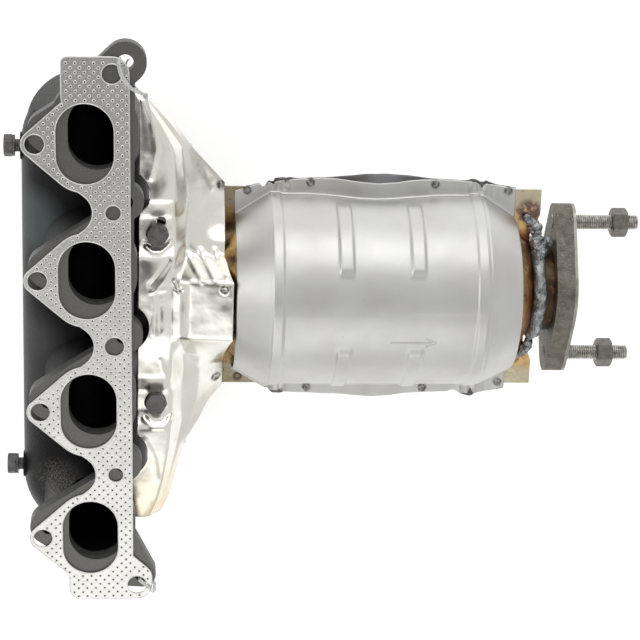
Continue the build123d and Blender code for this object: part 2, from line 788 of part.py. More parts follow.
def gasket_tie_lower():
    """Nylon strap looped through the bottom hole and round the ear."""
    width, thickness = LOOP_STRAP
    height = FLANGE_THICKNESS + GASKET_THICKNESS + 2 * LOOP_CLEARANCE
    middle = (GASKET_THICKNESS - FLANGE_THICKNESS) / 2
    turn = math.radians(LOOP_ANGLE)
    along = (math.cos(turn), math.sin(turn), 0)
    centre = (LOOP_START[0] + along[0] * LOOP_SPAN / 2, LOOP_START[1] + along[1] * LOOP_SPAN / 2, middle)
    with BuildPart() as tie:
        with BuildSketch(Plane(origin=centre, x_dir=along, z_dir=(along[1], -along[0], 0))):
            RectangleRounded(LOOP_SPAN + 2 * thickness, height + 2 * thickness, 2)
            RectangleRounded(LOOP_SPAN, height, 2 - thickness, mode=Mode.SUBTRACT)
        extrude(amount=width / 2, both=True)
    return tie


def main():
    """Build every piece and write its file."""
    keep(exhaust_manifold(), "exhaust_manifold")
    keep(head_gasket(), "head_gasket")
    keep(gasket_tie_upper(), "gasket_tie_upper")
    keep(gasket_tie_lower(), "gasket_tie_lower")
    keep(manifold_shield(), "manifold_shield")
    for name, y in zip(("upper", "lower"), SHIELD_BOLT_YS):
        seat = Plane(origin=(SHIELD_BOLT_X, y, -SHIELD_SEAT_DROP))
        keep(flange_bolt(seat, SHEET), f"shield_bolt_{name}")
    for name, y in zip(("upper", "lower"), SIDE_BOLT_YS):
        keep(flange_bolt(side_face(y), SIDE_BOLT_STANDOFF), f"side_bolt_{name}")
    front_can = converter_can_front()
    keep(front_can, "converter_can_front")
    keep(converter_can_rear(front_can), "converter_can_rear")
    for name, x in zip(("front", "rear"), BRICK_XS):
        keep(brick(x), f"catalyst_brick_{name}")
        keep(mat(x), f"brick_mat_{name}")
    front_shield = converter_shield_front()
    keep(front_shield, "converter_shield_front")
    keep(converter_shield_rear(front_shield), "converter_shield_rear")
    keep(inlet_weld(), "inlet_weld")
    keep(outlet_weld(), "outlet_weld")
    keep(outlet_pipe(), "outlet_pipe")
    keep(
        outlet_plate(OUTLET_FLANGE_X, OUTLET_FLANGE_THICKNESS, PIPE_RADIUS, STUD_SEAT_RADIUS),
        "outlet_flange",
    )
    keep(
        outlet_plate(OUTLET_FACE_X, OUTLET_GASKET_THICKNESS, PIPE_RADIUS - PIPE_WALL, OUTLET_STUD_HOLE / 2),
        "outlet_gasket",
    )
    for name, y, nut_x in zip(("upper", "lower"), OUTLET_STUD_YS, (NUT_UPPER_X, NUT_LOWER_X)):
        keep(outlet_stud(y, nut_x), f"outlet_stud_{name}")
        keep(outlet_nut(y, nut_x), f"outlet_nut_{name}")


main()
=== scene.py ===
import json
import math
import random

import bmesh
import bpy
from bpy.props import FloatProperty, FloatVectorProperty, PointerProperty
from mathutils import Matrix, Vector, noise


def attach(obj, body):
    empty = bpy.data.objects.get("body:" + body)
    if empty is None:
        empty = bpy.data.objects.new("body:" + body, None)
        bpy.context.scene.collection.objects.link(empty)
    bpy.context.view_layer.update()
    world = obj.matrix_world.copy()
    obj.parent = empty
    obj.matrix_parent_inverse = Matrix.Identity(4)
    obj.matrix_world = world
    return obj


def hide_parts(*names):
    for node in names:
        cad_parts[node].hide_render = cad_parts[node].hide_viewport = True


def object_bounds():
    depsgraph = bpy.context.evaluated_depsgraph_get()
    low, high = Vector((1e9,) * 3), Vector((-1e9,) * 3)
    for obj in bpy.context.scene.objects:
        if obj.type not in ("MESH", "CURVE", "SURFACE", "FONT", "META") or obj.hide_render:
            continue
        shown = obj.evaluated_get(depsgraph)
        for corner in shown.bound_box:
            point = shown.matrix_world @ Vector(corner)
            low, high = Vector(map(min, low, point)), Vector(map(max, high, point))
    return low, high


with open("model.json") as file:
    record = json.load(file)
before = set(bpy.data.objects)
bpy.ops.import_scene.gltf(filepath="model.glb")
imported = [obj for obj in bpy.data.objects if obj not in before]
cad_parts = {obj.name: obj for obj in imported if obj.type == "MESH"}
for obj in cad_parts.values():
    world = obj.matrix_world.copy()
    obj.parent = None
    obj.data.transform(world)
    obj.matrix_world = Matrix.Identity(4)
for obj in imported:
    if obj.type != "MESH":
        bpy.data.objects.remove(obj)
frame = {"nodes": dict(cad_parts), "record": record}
CAD_BOX = [list(corner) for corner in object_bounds()]

bl_info = {
    "name": "Exhaust manifold converter",
    "version": (1, 0, 0),
    "blender": (4, 5, 0),
    "location": "3D View > Sidebar > Converter",
    "description": "Dresses a cast manifold with its welded catalytic converter",
    "category": "Add Mesh",
}

MM = 0.001
NODES = frame["nodes"]

# Places in millimetres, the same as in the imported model; the gasket hangs off its place
AXIS_Y = 17.0
AXIS_Z = -58.0
FLANGE_DEPTH = 12.0
GASKET_TOP = 1.5
GASKET_SLIP = (-5.9, -7.4)
GASKET_TURN = math.radians(0.77)
ROW_X = 48.0
PORT_X = 31.0
PORT_PITCH = 88.0
PORT_WIDTH = 36.5
PORT_HEIGHT = 46.6
GASKET_PORT_HEIGHT = 51.5
# How far the gasket's openings stand off the ports, and the lips above the head face
LIP_MARGIN = 3.0
LIP_LEAST = 0.5
LIP_RISE = 0.03
BOSS_YS = (88.0, 0.0, -88.0)
SCALLOP_RADIUS = 16.2
LIP_X = 57.0
LOW_LIP_X = 51.0
# Where the lip steps back to its low part, and over how long
LIP_STEP = (-98.0, 14.0)
SHIELD_RADIUS = 65.0
SHIELD_START = 120.0
SHIELD_END = 307.0
SHIELD_TAPER = 22.0
BARREL_SLIP = -1.3
BARREL_ENDS = {1: 50.5, -1: 55.0}
SHEET = 1.0
BEAD_XS = (146.5, 279.3)
RIB_XS = (190.2, 236.7)
BEAD_HALF = 4.4
BEAD_HEIGHT = 1.1
RIB_HALF = 5.6
RIB_HEIGHT = 1.9
RIB_DEGREES = (13.0, 69.0)
# Columns and rows of the front half's grid and of the rear half's, by the way each looks
HALF_GRIDS = {1: (290, 160), -1: (190, 130)}
STUD_YS = (63.0, -29.0)
STUD_RUN = (332.6, 391.0)
STUD_RADIUS = 5.0
SIDE_BOLTS = ((-20.0, 106.8, -74.0), (-20.0, -116.3, -74.0))
SIDE_THREAD = (-3.7, 1.0)
SIDE_RADIUS = 4.3
# Depth of a thread and its crest as shares of its pitch, and the chamfer at its end
THREAD_DEPTH = 0.58
THREAD_CREST = (0.42, 0.58)
CHAMFER = 0.9

# y, strip height, shoulder x, then (x, z) of foot, crest and edge
SHIELD_STATIONS = [
    (149, -21, 60, (61.5, -23), (63, -24.5), (65, -27.5)),
    (134, -19, 70, (73, -24), (76, -26), (79, -29.5)),
    (118, -18, 79, (84, -27), (87, -28.5), (90, -31)),
    (88, -18, 80.5, (88, -33), (97, -40), (113.5, -56)),
    (84, -18, 80.5, (88, -33), (97, -39), (113.5, -56)),
    (73, -24, 80.5, (88, -33), (97, -37), (113.5, -50)),
    (55, -24, 80.5, (88, -31), (97, -32), (113, -32)),
    (46, -18, 80.5, (88, -30), (97, -29), (113, -29)),
    (33, -16.5, 79, (84, -16), (90, -12.5), (118, -7.5)),
    (-6, -16.5, 79, (84, -16), (90, -12.5), (118, -7.5)),
    (-22, -18, 79, (87, -29), (97, -28.5), (114.5, -33)),
    (-34, -18, 79, (87, -33), (97, -36), (114.5, -54)),
    (-45, -24, 79, (87, -33), (97, -38), (114.5, -56)),
    (-52, -24, 79, (87, -33), (97, -40), (114, -56)),
    (-61, -24, 79, (86.5, -33), (94, -38), (104, -47)),
    (-70, -18, 79, (86, -32), (92, -36), (99, -42)),
    (-84, -18, 78, (83, -27), (85.5, -29), (88.5, -32)),
    (-108, -18, 74, (77.5, -25), (79.5, -27), (82, -30)),
    (-122, -18.5, 70.5, (74, -25), (76, -27), (78.5, -30)),
    (-133.5, -20, 65.5, (68.5, -25), (70.5, -27.5), (73.5, -31)),
]
# How the shield's columns are shared out between those six points
SECTION_SHARES = (0.05, 0.32, 0.15, 0.12, 0.36)
STRIP_BULGE = 0.5
SHIELD_GRID = (96, 300)
SHIELD_SMOOTHING = 9
# The slot beside the upper bolt: centre, half width and how much it is squeezed
BOLT_SLOT = (71.6, 69.4)
SLOT_HALF = 2.6
SLOT_SQUEEZE = 1.5

# Creases in the bright sheet: points (x, y), half width and height
CREASES = [
    ([(65, 29), (70, 35), (76.4, 44.5)], 3.0, -0.7),
    ([(67, 25), (73, 31), (78.5, 41)], 2.2, 0.4),
    ([(65, 23.8), (70, 25.5), (74.6, 25.9)], 1.5, 0.35),
    ([(66.5, 23), (67, 10), (66.6, -4.6)], 1.6, 0.2),
    ([(70.5, 23), (71.5, 10), (71.7, -1.2)], 1.9, -0.22),
    ([(61.7, 53.4), (66.2, 50.1), (71.3, 50.2), (77.7, 54.9)], 1.7, 0.8),
    ([(60.5, 56), (66, 52.9), (72, 53), (76.5, 57.8)], 1.4, -0.4),
    ([(61.3, -64.4), (67.3, -69.3), (74.6, -69.3), (79.1, -63.0)], 2.0, 0.6),
    ([(63, -61.6), (67.5, -66.3), (73.5, -66.2), (77.5, -61.2)], 1.6, -0.35),
    ([(80.6, 30.5), (82.2, 27), (85, 26.6)], 1.5, 0.9),
    ([(79.5, 28), (83, 25.2)], 1.2, -0.7),
    ([(89, 47), (98, 34)], 3.4, 1.2),
    ([(97, 49), (106, 35)], 3.4, 1.2),
    ([(106, 49), (114, 37)], 3.2, 1.1),
    ([(96.7, 103.7), (105.4, 86.6)], 3.6, -0.7),
    ([(72, -22), (75, -34), (73.5, -42)], 2.2, 0.4),
    ([(62, -78), (68, -90), (70, -104)], 3.0, 0.3),
    ([(64, 100), (68, 118), (66, 134)], 3.6, 0.4),
]
# Spot welds on the bright sheet (x, y)
SHEET_WELDS = ((110.3, 87.5), (112.2, 28.4), (109.5, -45.0))
# Painted shade in two crease hollows on that sheet: x, y, radius and strength
CREASE_SHADE_SPOTS = ((62.6, -60.2, 1.3, 0.7), (104.0, 92.0, 1.5, 0.3))
# Spot welds on the seam flanges: x and reach from the axis
SEAM_WELDS = {
    1: ((128.0, 65.9), (169.7, 71.6), (252.6, 71.2), (301.8, 67.3)),
    -1: ((171.3, 71.4), (250.5, 71.4), (302.4, 67.3)),
}
# Radius of a spot weld's ring, and how far its burn reaches
SPOT_RING = 2.2
SPOT_REACH = 4.5
# Reach of the seam flanges from the axis at places along them
SEAM_EDGES = {
    1: (
        *((118, 65), (132, 69), (143, 71.5), (163, 74), (186, 74.5)),
        *((216, 74), (243, 75), (276, 73.5), (309, 69)),
    ),
    -1: (
        *((118, 57), (121, 58.5), (146, 73.5), (168, 75), (195, 76)),
        *((216, 78), (243, 75), (264, 74), (283, 75.5), (310, 71)),
    ),
}
# Notches in those edges: place, half length and depth
SEAM_NOTCHES = {
    1: ((139, 3.2, 3.4), (145, 3.0, 1.6), (283, 4.0, 1.2)),
    -1: ((145, 4.0, 1.8), (272, 5.0, 1.6)),
}
# Share of a half shield's grid that each flange takes, and how far it stands off the seam
FLANGE_SHARE = 0.08
FLANGE_REST = 1.5
# Where the edges are crumpled, and where the upper seam gapes: place and half length
CRUMPLES = ((150, 13), (283, 13))
GAPE = (216, 40)
# How far the gaping edge of the front and of the rear half lifts and draws in
GAPE_LIFT = {1: 1.6, -1: 6.5}
GAPE_DRAW = {1: 2.6, -1: -1.4}
# The shallow dent beside the upper seam: place, half length, depth and degrees up
SIDE_DENT = (214, 50, 3.2, 30)
# Painted reflections on the log: paler patches on its upward faces, seen from the head: place,
# radius and colour
PAINTED_REFLECTION_PATCHES = (
    (-14.0, 62.0, 12.0, "464d4e"),
    (-12.0, -20.0, 9.0, "3c3c3e"),
    (-15.0, -45.0, 8.0, "343436"),
)
# Ripples round a weld bead, and how far its lumps may stand out
BEAD_RIPPLES = 46
BEAD_LUMP_LIMIT = 0.9
# Weld beads: node, x, radius at the root, rise, half width and steps round
WELDS = (("outlet_weld", 322.0, 28.6, 5.8, 4.4, 150), ("inlet_weld", 93.0, 32.0, 5.5, 4.5, 120))
# Runs of slag: start, end, number of lumps and their radius
SLAG_RUNS = (
    ((315.5, 66.0, -55.5), (322.0, 57.0, -53.5), 9, 3.0),
    ((320.5, 59.0, -53.0), (323.5, 42.0, -41.0), 14, 3.7),
    ((324.5, 50.0, -47.0), (331.0, 50.5, -48.0), 8, 2.8),
    ((315.5, -31.0, -55.5), (322.0, -19.5, -51.0), 11, 2.8),
)
# Painted highlight on the sandy skin by the lowest port, and the can's torn corner: x, y, radius
# and fade
SANDY_HIGHLIGHT = (7.0, -115.0, 7.0, 12.0)
TORN_CORNER = (317.0, 70.0, 6.0, 4.0)
# Where straw turns to gold, gold to brown and brown to dark, as distances from the axis
TINT_RINGS = ((62.0, 54.0), (44.0, 38.0), (36.0, 33.0))
# Spot welds on the can's own flanges
CAN_SPOTS = ((111.0, 71.5), (124.5, -46.5), (316.5, 63.0), (112.0, -42.0))
ARROW = (
    ((220.0, -3.5), (249.0, -3.5)),
    ((249.0, -3.5), (243.0, -0.6)),
    ((249.0, -3.5), (243.0, -6.4)),
)
ARROW_HALF = 0.2
# Rounded rim of the gasket's sheared edges
RIM_RADIUS = 0.42
RIM_SINK = 0.12
# Rings of a tang, from its foot to its pierced bottom: radius and height
TANG_RINGS = ((1.2, -0.02), (1.05, 0.2), (0.9, 0.22), (0.58, 0.04))
# Rows and columns tried for tangs, counted from the gasket's own origin
TANG_ROWS = range(-70, 71)
TANG_COLUMNS = range(-8, 17)
CELL_PITCH = 1.27
# The upper tie's band, its return and its tail
TIE_BAND = (
    *((44.0, 179.0, 0.8), (43.9, 176.0, 2.6), (45.4, 168.6, 2.8), (50.0, 162.0, 2.4)),
    *((55.2, 158.4, 1.6), (59.6, 156.2, -3.0), (60.4, 154.0, -9.5)),
)
TIE_RETURN = (
    *((50.2, 178.0, -1.0), (49.0, 176.6, -9.0), (48.0, 168.0, -13.4)),
    *((53.5, 158.5, -13.8), (60.0, 153.6, -12.0)),
)
TIE_TAIL = ((60.6, 153.5, -11.0), (62.4, 147.0, -13.0), (63.9, 140.8, -14.6), (66.1, 126.5, -15.2))
# Each run's points, the way its width lies, its width at both ends and its thickness
TIE_RUNS = (
    (TIE_BAND, (0.8, 0.6, 0.0), (3.0, 1.8), 0.9),
    (TIE_RETURN, (0.7, 0.7, 0.0), (1.0, 1.0), 0.8),
    (TIE_TAIL, (0.97, 0.23, 0.0), (1.8, 0.7), 0.7),
)
TIE_HEAD = (60.6, 153.6, -11.2)
TIE_HEAD_SIZE = (2.8, 3.4, 2.6)

# The stage in metres; lamps: name, place, size and watts
LAMPS = (
    ("key softbox", (-0.3, -1.25, 1.5), (2.0, 1.5), 8.8),
    ("back softbox", (0.3, 1.7, 0.9), (1.8, 1.0), 10.5),
    ("left softbox", (-1.5, 0.3, 0.8), (0.7, 1.0), 5.0),
)
LAMP_AIM = (0.15, 0.0, -0.05)
CAMERA_PLACE = (0.0483, 0.4045, 1.239)
CAMERA_DEGREES = (-17.6, -5.5, 0.3)
CAMERA_LENS = 114.258
FLOOR_SPAN = 8.0
FLOOR_GAP = 0.0006
FLOOR_GLOW = 0.68
# The dark patch of sky that the level sheet mirrors: its direction and how its edge fades
DARK_SKY = (-0.22, -0.10, 0.970)
DARK_SKY_EDGE = (0.932, 0.976)


def length(name, description, millimetres):
    """A length property given in millimetres."""
    settings = {"name": name, "description": description, "default": millimetres * MM}
    return FloatProperty(**settings, unit="LENGTH")


class SizeSettings(bpy.types.PropertyGroup):
    """Sizes that a user would change"""

    perforation: length("Perforation pitch", "Distance between two tangs along a row", 5.7)
    perforation_row: length("Perforation row pitch", "Distance between two rows of tangs", 2.9)
    stud_pitch: length("Stud thread pitch", "Pitch of the outlet studs' threads", 1.5)
    bolt_pitch: length("Bolt thread pitch", "Pitch of the side bolts' threads", 1.25)
    waviness: length("Sheet waviness", "How far the bright sheet wanders from its pressing", 0.38)
    grain: length("Sand grain", "Grain of the cast skin, coarser than real so that it shows", 0.9)


def linear(code):
    """An sRGB hex colour as the linear values that Blender's sockets hold."""
    parts = [int(code[i : i + 2], 16) / 255 for i in (0, 2, 4)]
    return [p / 12.92 if p <= 0.04045 else ((p + 0.055) / 1.055) ** 2.4 for p in parts] + [1.0]


def colour(name, description, code):
    """A colour property that starts from a hex value."""
    settings = {"name": name, "description": description, "default": linear(code)}
    return FloatVectorProperty(**settings, subtype="COLOR", size=4, min=0, max=1)


class ColourSettings(bpy.types.PropertyGroup):
    """Colours that a user would change"""

    casting: colour("Casting", "Black heat-proof coat on the manifold", "0d0d0e")
    machined: colour("Machined face", "Milled head face", "6c6b68")
    gasket: colour("Gasket", "Graphite facing of the head gasket", "dcdbd7")
    bright: colour("Bright sheet", "Pressed aluminised sheet", "efede7")
    satin: colour("Satin sheet", "Stainless sheet round the converter", "cccccb")
    outlet: colour("Outlet flange", "Rough plate of the outlet", "78746b")
    floor: colour("Floor", "Pale seamless floor", "f4f4f2")


def ease(t):
    """Smooth step from 0 to 1, flat at both ends."""
    t = min(max(t, 0.0), 1.0)
    return t * t * (3 - 2 * t)


def hump(t):
    """1 at 0, falling smoothly to 0 at -1 and at 1."""
    return ease(1 - abs(t))


def ridge(t):
    """A flat-topped ridge: 1 round 0, falling to 0 at -1 and at 1."""
    return ease(2.6 * (1 - abs(t)))


def along(stops, x):
    """Straight-line value at x between stops (place, value)."""
    for (ax, a), (bx, b) in zip(stops, stops[1:]):
        if x <= bx:
            return mix(a, b, (x - ax) / (bx - ax))
    return stops[-1][1]


def mix(a, b, t):
    """Straight blend of two numbers."""
    return a + (b - a) * t


def waver(x, y, size, seed=0.0):
    """Smooth noise from -1 to 1 whose swells are about size across."""
    return noise.noise(Vector((x / size, y / size, seed)))


def off_line(x, y, points):
    """Distance from (x, y) to a line of points."""
    nearest = 1e9
    for (ax, ay), (bx, by) in zip(points, points[1:]):
        dx, dy = bx - ax, by - ay
        t = ((x - ax) * dx + (y - ay) * dy) / (dx * dx + dy * dy)
        t = min(max(t, 0.0), 1.0)
        nearest = min(nearest, math.hypot(x - ax - t * dx, y - ay - t * dy))
    return nearest


# Materials

SOOT_AND_SHADE = "soot_and_shade"


def add(tree, kind, sockets=(), out=0, **settings):
    """Adds one node with its settings, values and links, and gives back one of its outputs."""
    made = tree.nodes.new("ShaderNode" + kind)
    for name, value in settings.items():
        setattr(made, name, value)
    for name, value in sockets.items() if isinstance(sockets, dict) else enumerate(sockets):
        if isinstance(value, bpy.types.NodeSocket):
            tree.links.new(value, made.inputs[name])
        else:
            made.inputs[name].default_value = value
    return made.outputs[out]


def cover(tree, base, share, over):
    """Lays a colour over another where share is 1. Each is a hex code, a value or a socket."""
    base, over = (linear(c) if isinstance(c, str) else c for c in (base, over))
    return add(tree, "Mix", {"Factor": share, 6: base, 7: over}, out=2, data_type="RGBA")


class Finish:
    """One material being made: its tree, its shader and its place in millimetres."""

    def __init__(self, name, **values):
        self.material = bpy.data.materials.new(name)
        self.material.use_nodes = True
        self.tree = self.material.node_tree
        self.shader = self.tree.nodes["Principled BSDF"]
        for socket, value in values.items():
            self.shader.inputs[socket.replace("_", " ")].default_value = value
        where = self.add("TexCoord", out="Object")
        self.place = self.add("VectorMath", {0: where, "Scale": 1 / MM}, operation="SCALE")

    def add(self, kind, sockets=(), out=0, **settings):
        return add(self.tree, kind, sockets, out, **settings)

    def speck(self, size, low=0.3, high=0.7, detail=3.0):
        """A mottle from 0 to 1 whose spots are about size millimetres across."""
        value = self.add("TexNoise", {"Vector": self.place, "Scale": 1 / size, "Detail": detail})
        return self.add("MapRange", (value, low, high))

    def cover(self, base, share, over):
        return cover(self.tree, base, share, over)

    def mottle(self, size, base, over, low=0.3, high=0.7):
        """Two colours in clouds about size millimetres across."""
        return self.cover(base, self.speck(size, low, high), over)

    def darken_by_soot_and_shade(self, base, code):
        """Darkens a colour by the mesh's attribute, which holds weld burns and painted crease
        shade.
        """
        return self.cover(base, self.add("Attribute", out="Fac", attribute_name=SOOT_AND_SHADE), code)

    def link(self, socket, value):
        self.tree.links.new(value, self.shader.inputs[socket])

    def bump(self, height, depth):
        """Raises the surface by depth millimetres where height is 1."""
        self.link("Normal", self.add("Bump", {"Height": height, "Distance": depth * MM}))

    def stroke(self, start, end, half, soft):
        """1 on a line between two points seen along z, fading over soft millimetres."""
        span = Vector((end[0] - start[0], end[1] - start[1], 0.0))
        flat = self.add("VectorMath", (self.place, (1, 1, 0)), operation="MULTIPLY")
        rel = self.add("VectorMath", (flat, (*start, 0.0)), operation="SUBTRACT")
        step = span / span.length_squared
        share = self.add("VectorMath", (rel, step), out=1, operation="DOT_PRODUCT")
        share = self.add("MapRange", (share, 0.0, 1.0))
        foot = self.add("VectorMath", {0: tuple(span), "Scale": share}, operation="SCALE")
        away = self.add("VectorMath", (rel, foot), out=1, operation="DISTANCE")
        return self.add("MapRange", (away, half + soft, half))

    def near(self, x, y, radius, soft):
        """1 within radius of a point seen along z, fading over soft millimetres."""
        flat = self.add("VectorMath", (self.place, (1, 1, 0)), operation="MULTIPLY")
        away = self.add("VectorMath", (flat, (x, y, 0)), out=1, operation="DISTANCE")
        return self.add("MapRange", (away, radius + soft, radius))


def finish_casting(sizes, colours):
    """Sand-cast iron under black paint: soft sheen, sandy grain and painted reflections, its head
    face milled clean.
    """
    f = Finish("Black painted cast iron", Roughness=0.34, Metallic=0.0, Specular_IOR_Level=0.1)
    height = f.add("SeparateXYZ", (f.place,), out="Z")
    rise = f.add("SeparateXYZ", (f.add("NewGeometry", out="Normal"),), out="Z")
    top = f.add("Math", (height, -0.4), operation="GREATER_THAN")
    level = f.add("Math", (rise, 0.8), operation="GREATER_THAN")
    milled = f.add("Math", (top, level), operation="MULTIPLY")
    upward = f.add("MapRange", (rise, 0.1, 0.6))
    soot_and_sheen = f.mottle(26.0, colours.casting, "161617", 0.4)
    # Painted reflection: paler patches on the log's upward faces stand in for its glossy
    # reflections
    for x, y, radius, code in PAINTED_REFLECTION_PATCHES:
        reflection_share = f.add("Math", (f.near(x, y, radius, 16.0), upward), operation="MULTIPLY")
        soot_and_sheen = f.cover(soot_and_sheen, reflection_share, code)
    # Painted highlight: paler grain on upward faces by the lowest port, where the rough skin
    # catches the light
    grain_glint_masks = (f.near(*SANDY_HIGHLIGHT), f.speck(1.1, 0.45, 0.62))
    sandy = f.add("Math", grain_glint_masks, operation="MULTIPLY")
    sandy = f.add("Math", (sandy, upward), operation="MULTIPLY")
    soot_and_sheen = f.cover(soot_and_sheen, sandy, "6a6762")
    flange = f.add("MapRange", (height, -FLANGE_DEPTH - 0.8, -FLANGE_DEPTH))
    body = f.cover(soot_and_sheen, flange, f.mottle(5.0, "414141", "565654"))
    # The cutter's marks are too fine to show, so the milled face has coarser clouds
    face = f.mottle(1.2, colours.machined, "605f5c")
    f.link("Base Color", f.cover(body, milled, face))
    f.link("Metallic", f.add("Math", (milled, 0.55), operation="MULTIPLY"))
    # The moulding sand's real grain, about 0.3 mm, is too fine to show and is drawn coarser
    grain = f.speck(sizes.grain / MM, 0.35, 0.65)
    skin = f.add("Mix", {"Factor": 0.4, 2: grain, 3: f.speck(11.0)})
    rough = f.add("Math", (1.05, milled), operation="SUBTRACT")
    f.bump(f.add("Math", (skin, rough), operation="MULTIPLY"), 0.16)
    return f.material


def finish_bright(colours):
    """Pressed aluminised sheet: nearly a mirror, warmer where it ran hot, blackened at its welds,
    with painted crease shade.
    """
    f = Finish("Bright pressed sheet", Metallic=1.0)
    warm = f.add("MapRange", (f.add("SeparateXYZ", (f.place,), out="Y"), -85.0, -128.0))
    clean = f.mottle(30.0, colours.bright, "e6e3d9", 0.35)
    hot = f.mottle(16.0, "e6dcc6", "d6c6a4", 0.35)
    # Weld burns and painted shade in two crease hollows darken the sheet
    f.link("Base Color", f.darken_by_soot_and_shade(f.cover(clean, warm, hot), "4a4337"))
    f.link("Roughness", f.add("MapRange", (f.speck(9.0, 0.3, 0.75), 0.0, 1.0, 0.2, 0.3)))
    f.bump(f.speck(7.0, detail=1.0), 0.05)
    return f.material


def finish_satin(colours):
    """Rolled stainless sheet: satin grey, cloudy handling marks and an embossed flow arrow."""
    f = Finish("Satin stainless sheet", Metallic=1.0)
    base = f.mottle(32.0, colours.satin, "c3c2bf", 0.35)
    marks = f.speck(2.2, 0.70, 0.78, detail=4.0)
    base = f.cover(base, f.add("Math", (marks, 0.45), operation="MULTIPLY"), "8b8780")
    f.link("Base Color", f.darken_by_soot_and_shade(base, "5a5650"))
    f.link("Roughness", f.add("MapRange", (f.speck(18.0), 0.0, 1.0, 0.42, 0.5)))
    dents = f.add("Math", (f.speck(6.0, detail=1.0), 0.06), operation="MULTIPLY")
    arrow = 0.0
    for start, end in ARROW:
        stroke = f.stroke(start, end, ARROW_HALF, 0.7)
        arrow = f.add("Math", (arrow, stroke), operation="MAXIMUM")
    f.bump(f.add("Math", (dents, arrow), operation="ADD"), 0.3)
    return f.material


def finish_tinted():
    """Stainless sheet coloured by heat: straw flanges, gold and brown cones, dark at its weld;
    painted shade darkens its inlet end.
    """
    f = Finish("Heat tinted stainless sheet", Roughness=0.34, Metallic=1.0)
    straw = f.mottle(11.0, "c3b596", "d0c8b2")
    straw = f.cover(straw, f.speck(5.0, 0.66, 0.76), "9a8a76")
    for x, y in CAN_SPOTS:
        centre = f.add("Math", (f.near(x, y, 0.8, 1.2), 0.6), operation="MULTIPLY")
        burnt = f.add("Math", (f.near(x, y, 2.2, 1.6), centre), operation="SUBTRACT")
        straw = f.cover(straw, burnt, "4f4840")
    gold = f.mottle(7.0, "e2c288", "c4975c", 0.35, 0.65)
    gold = f.cover(gold, f.speck(6.0, 0.6), "7a5a50")
    # The tints lie in rings round the converter's axis, with wandering edges
    across = f.add("VectorMath", (f.place, (0, 1, 1)), operation="MULTIPLY")
    away = f.add("VectorMath", (across, (0, AXIS_Y, AXIS_Z)), out=1, operation="DISTANCE")
    stray = f.add("Math", (f.speck(9.0, 0.25, 0.75), 6.0), operation="MULTIPLY")
    away = f.add("Math", (away, stray), operation="ADD")
    gold_ring, brown_ring, dark_ring = TINT_RINGS
    base = f.cover(straw, f.add("MapRange", (away, *gold_ring)), gold)
    base = f.cover(base, f.add("MapRange", (away, *brown_ring)), "a2683f")
    torn = (f.near(*TORN_CORNER), f.speck(4.0, 0.35, 0.5))
    base = f.cover(base, f.add("Math", torn, operation="MULTIPLY"), "7a645e")
    # Painted shade: the inlet end, in the gap under the shields, is darkened brown
    inlet = f.add("SeparateXYZ", (f.place,), out="X")
    base = f.cover(base, f.add("MapRange", (inlet, 150.0, 130.0, 0.0, 0.55)), "54442e")
    base = f.cover(base, f.add("MapRange", (away, *dark_ring)), "45382a")
    f.link("Base Color", base)
    f.bump(f.speck(3.0), 0.08)
    return f.material


def finish_ceramic():
    """Extruded cordierite honeycomb: matt buff with square cells at their real pitch, painted dark
    as shade.
    """
    f = Finish("Cordierite honeycomb", Roughness=0.9)
    across = f.add("VectorMath", (f.place, (0.0, 1.0, 1.0)), operation="MULTIPLY")
    cells = {"Vector": across, "Scale": 1 / CELL_PITCH, "Randomness": 0.0}
    wall = f.add("MapRange", (f.add("TexVoronoi", cells, distance="CHEBYCHEV"), 0.40, 0.46))
    # Painted shade: the open cells are dark between the buff walls
    f.link("Base Color", f.cover("3a332b", wall, "b3a488"))
    return f.material


def plain(name, roughness, metallic, clouds, flecks=(), bump=(), **values):
    """Two clouded colours under flecks of others, with a fine bump where one is given."""
    f = Finish(name, Roughness=roughness, Metallic=metallic, **values)
    base = f.mottle(*clouds)
    for size, low, high, code in flecks:
        base = f.cover(base, f.speck(size, low, high), code)
    f.link("Base Color", base)
    if bump:
        size, depth = bump
        f.bump(f.speck(size), depth)
    return f.material


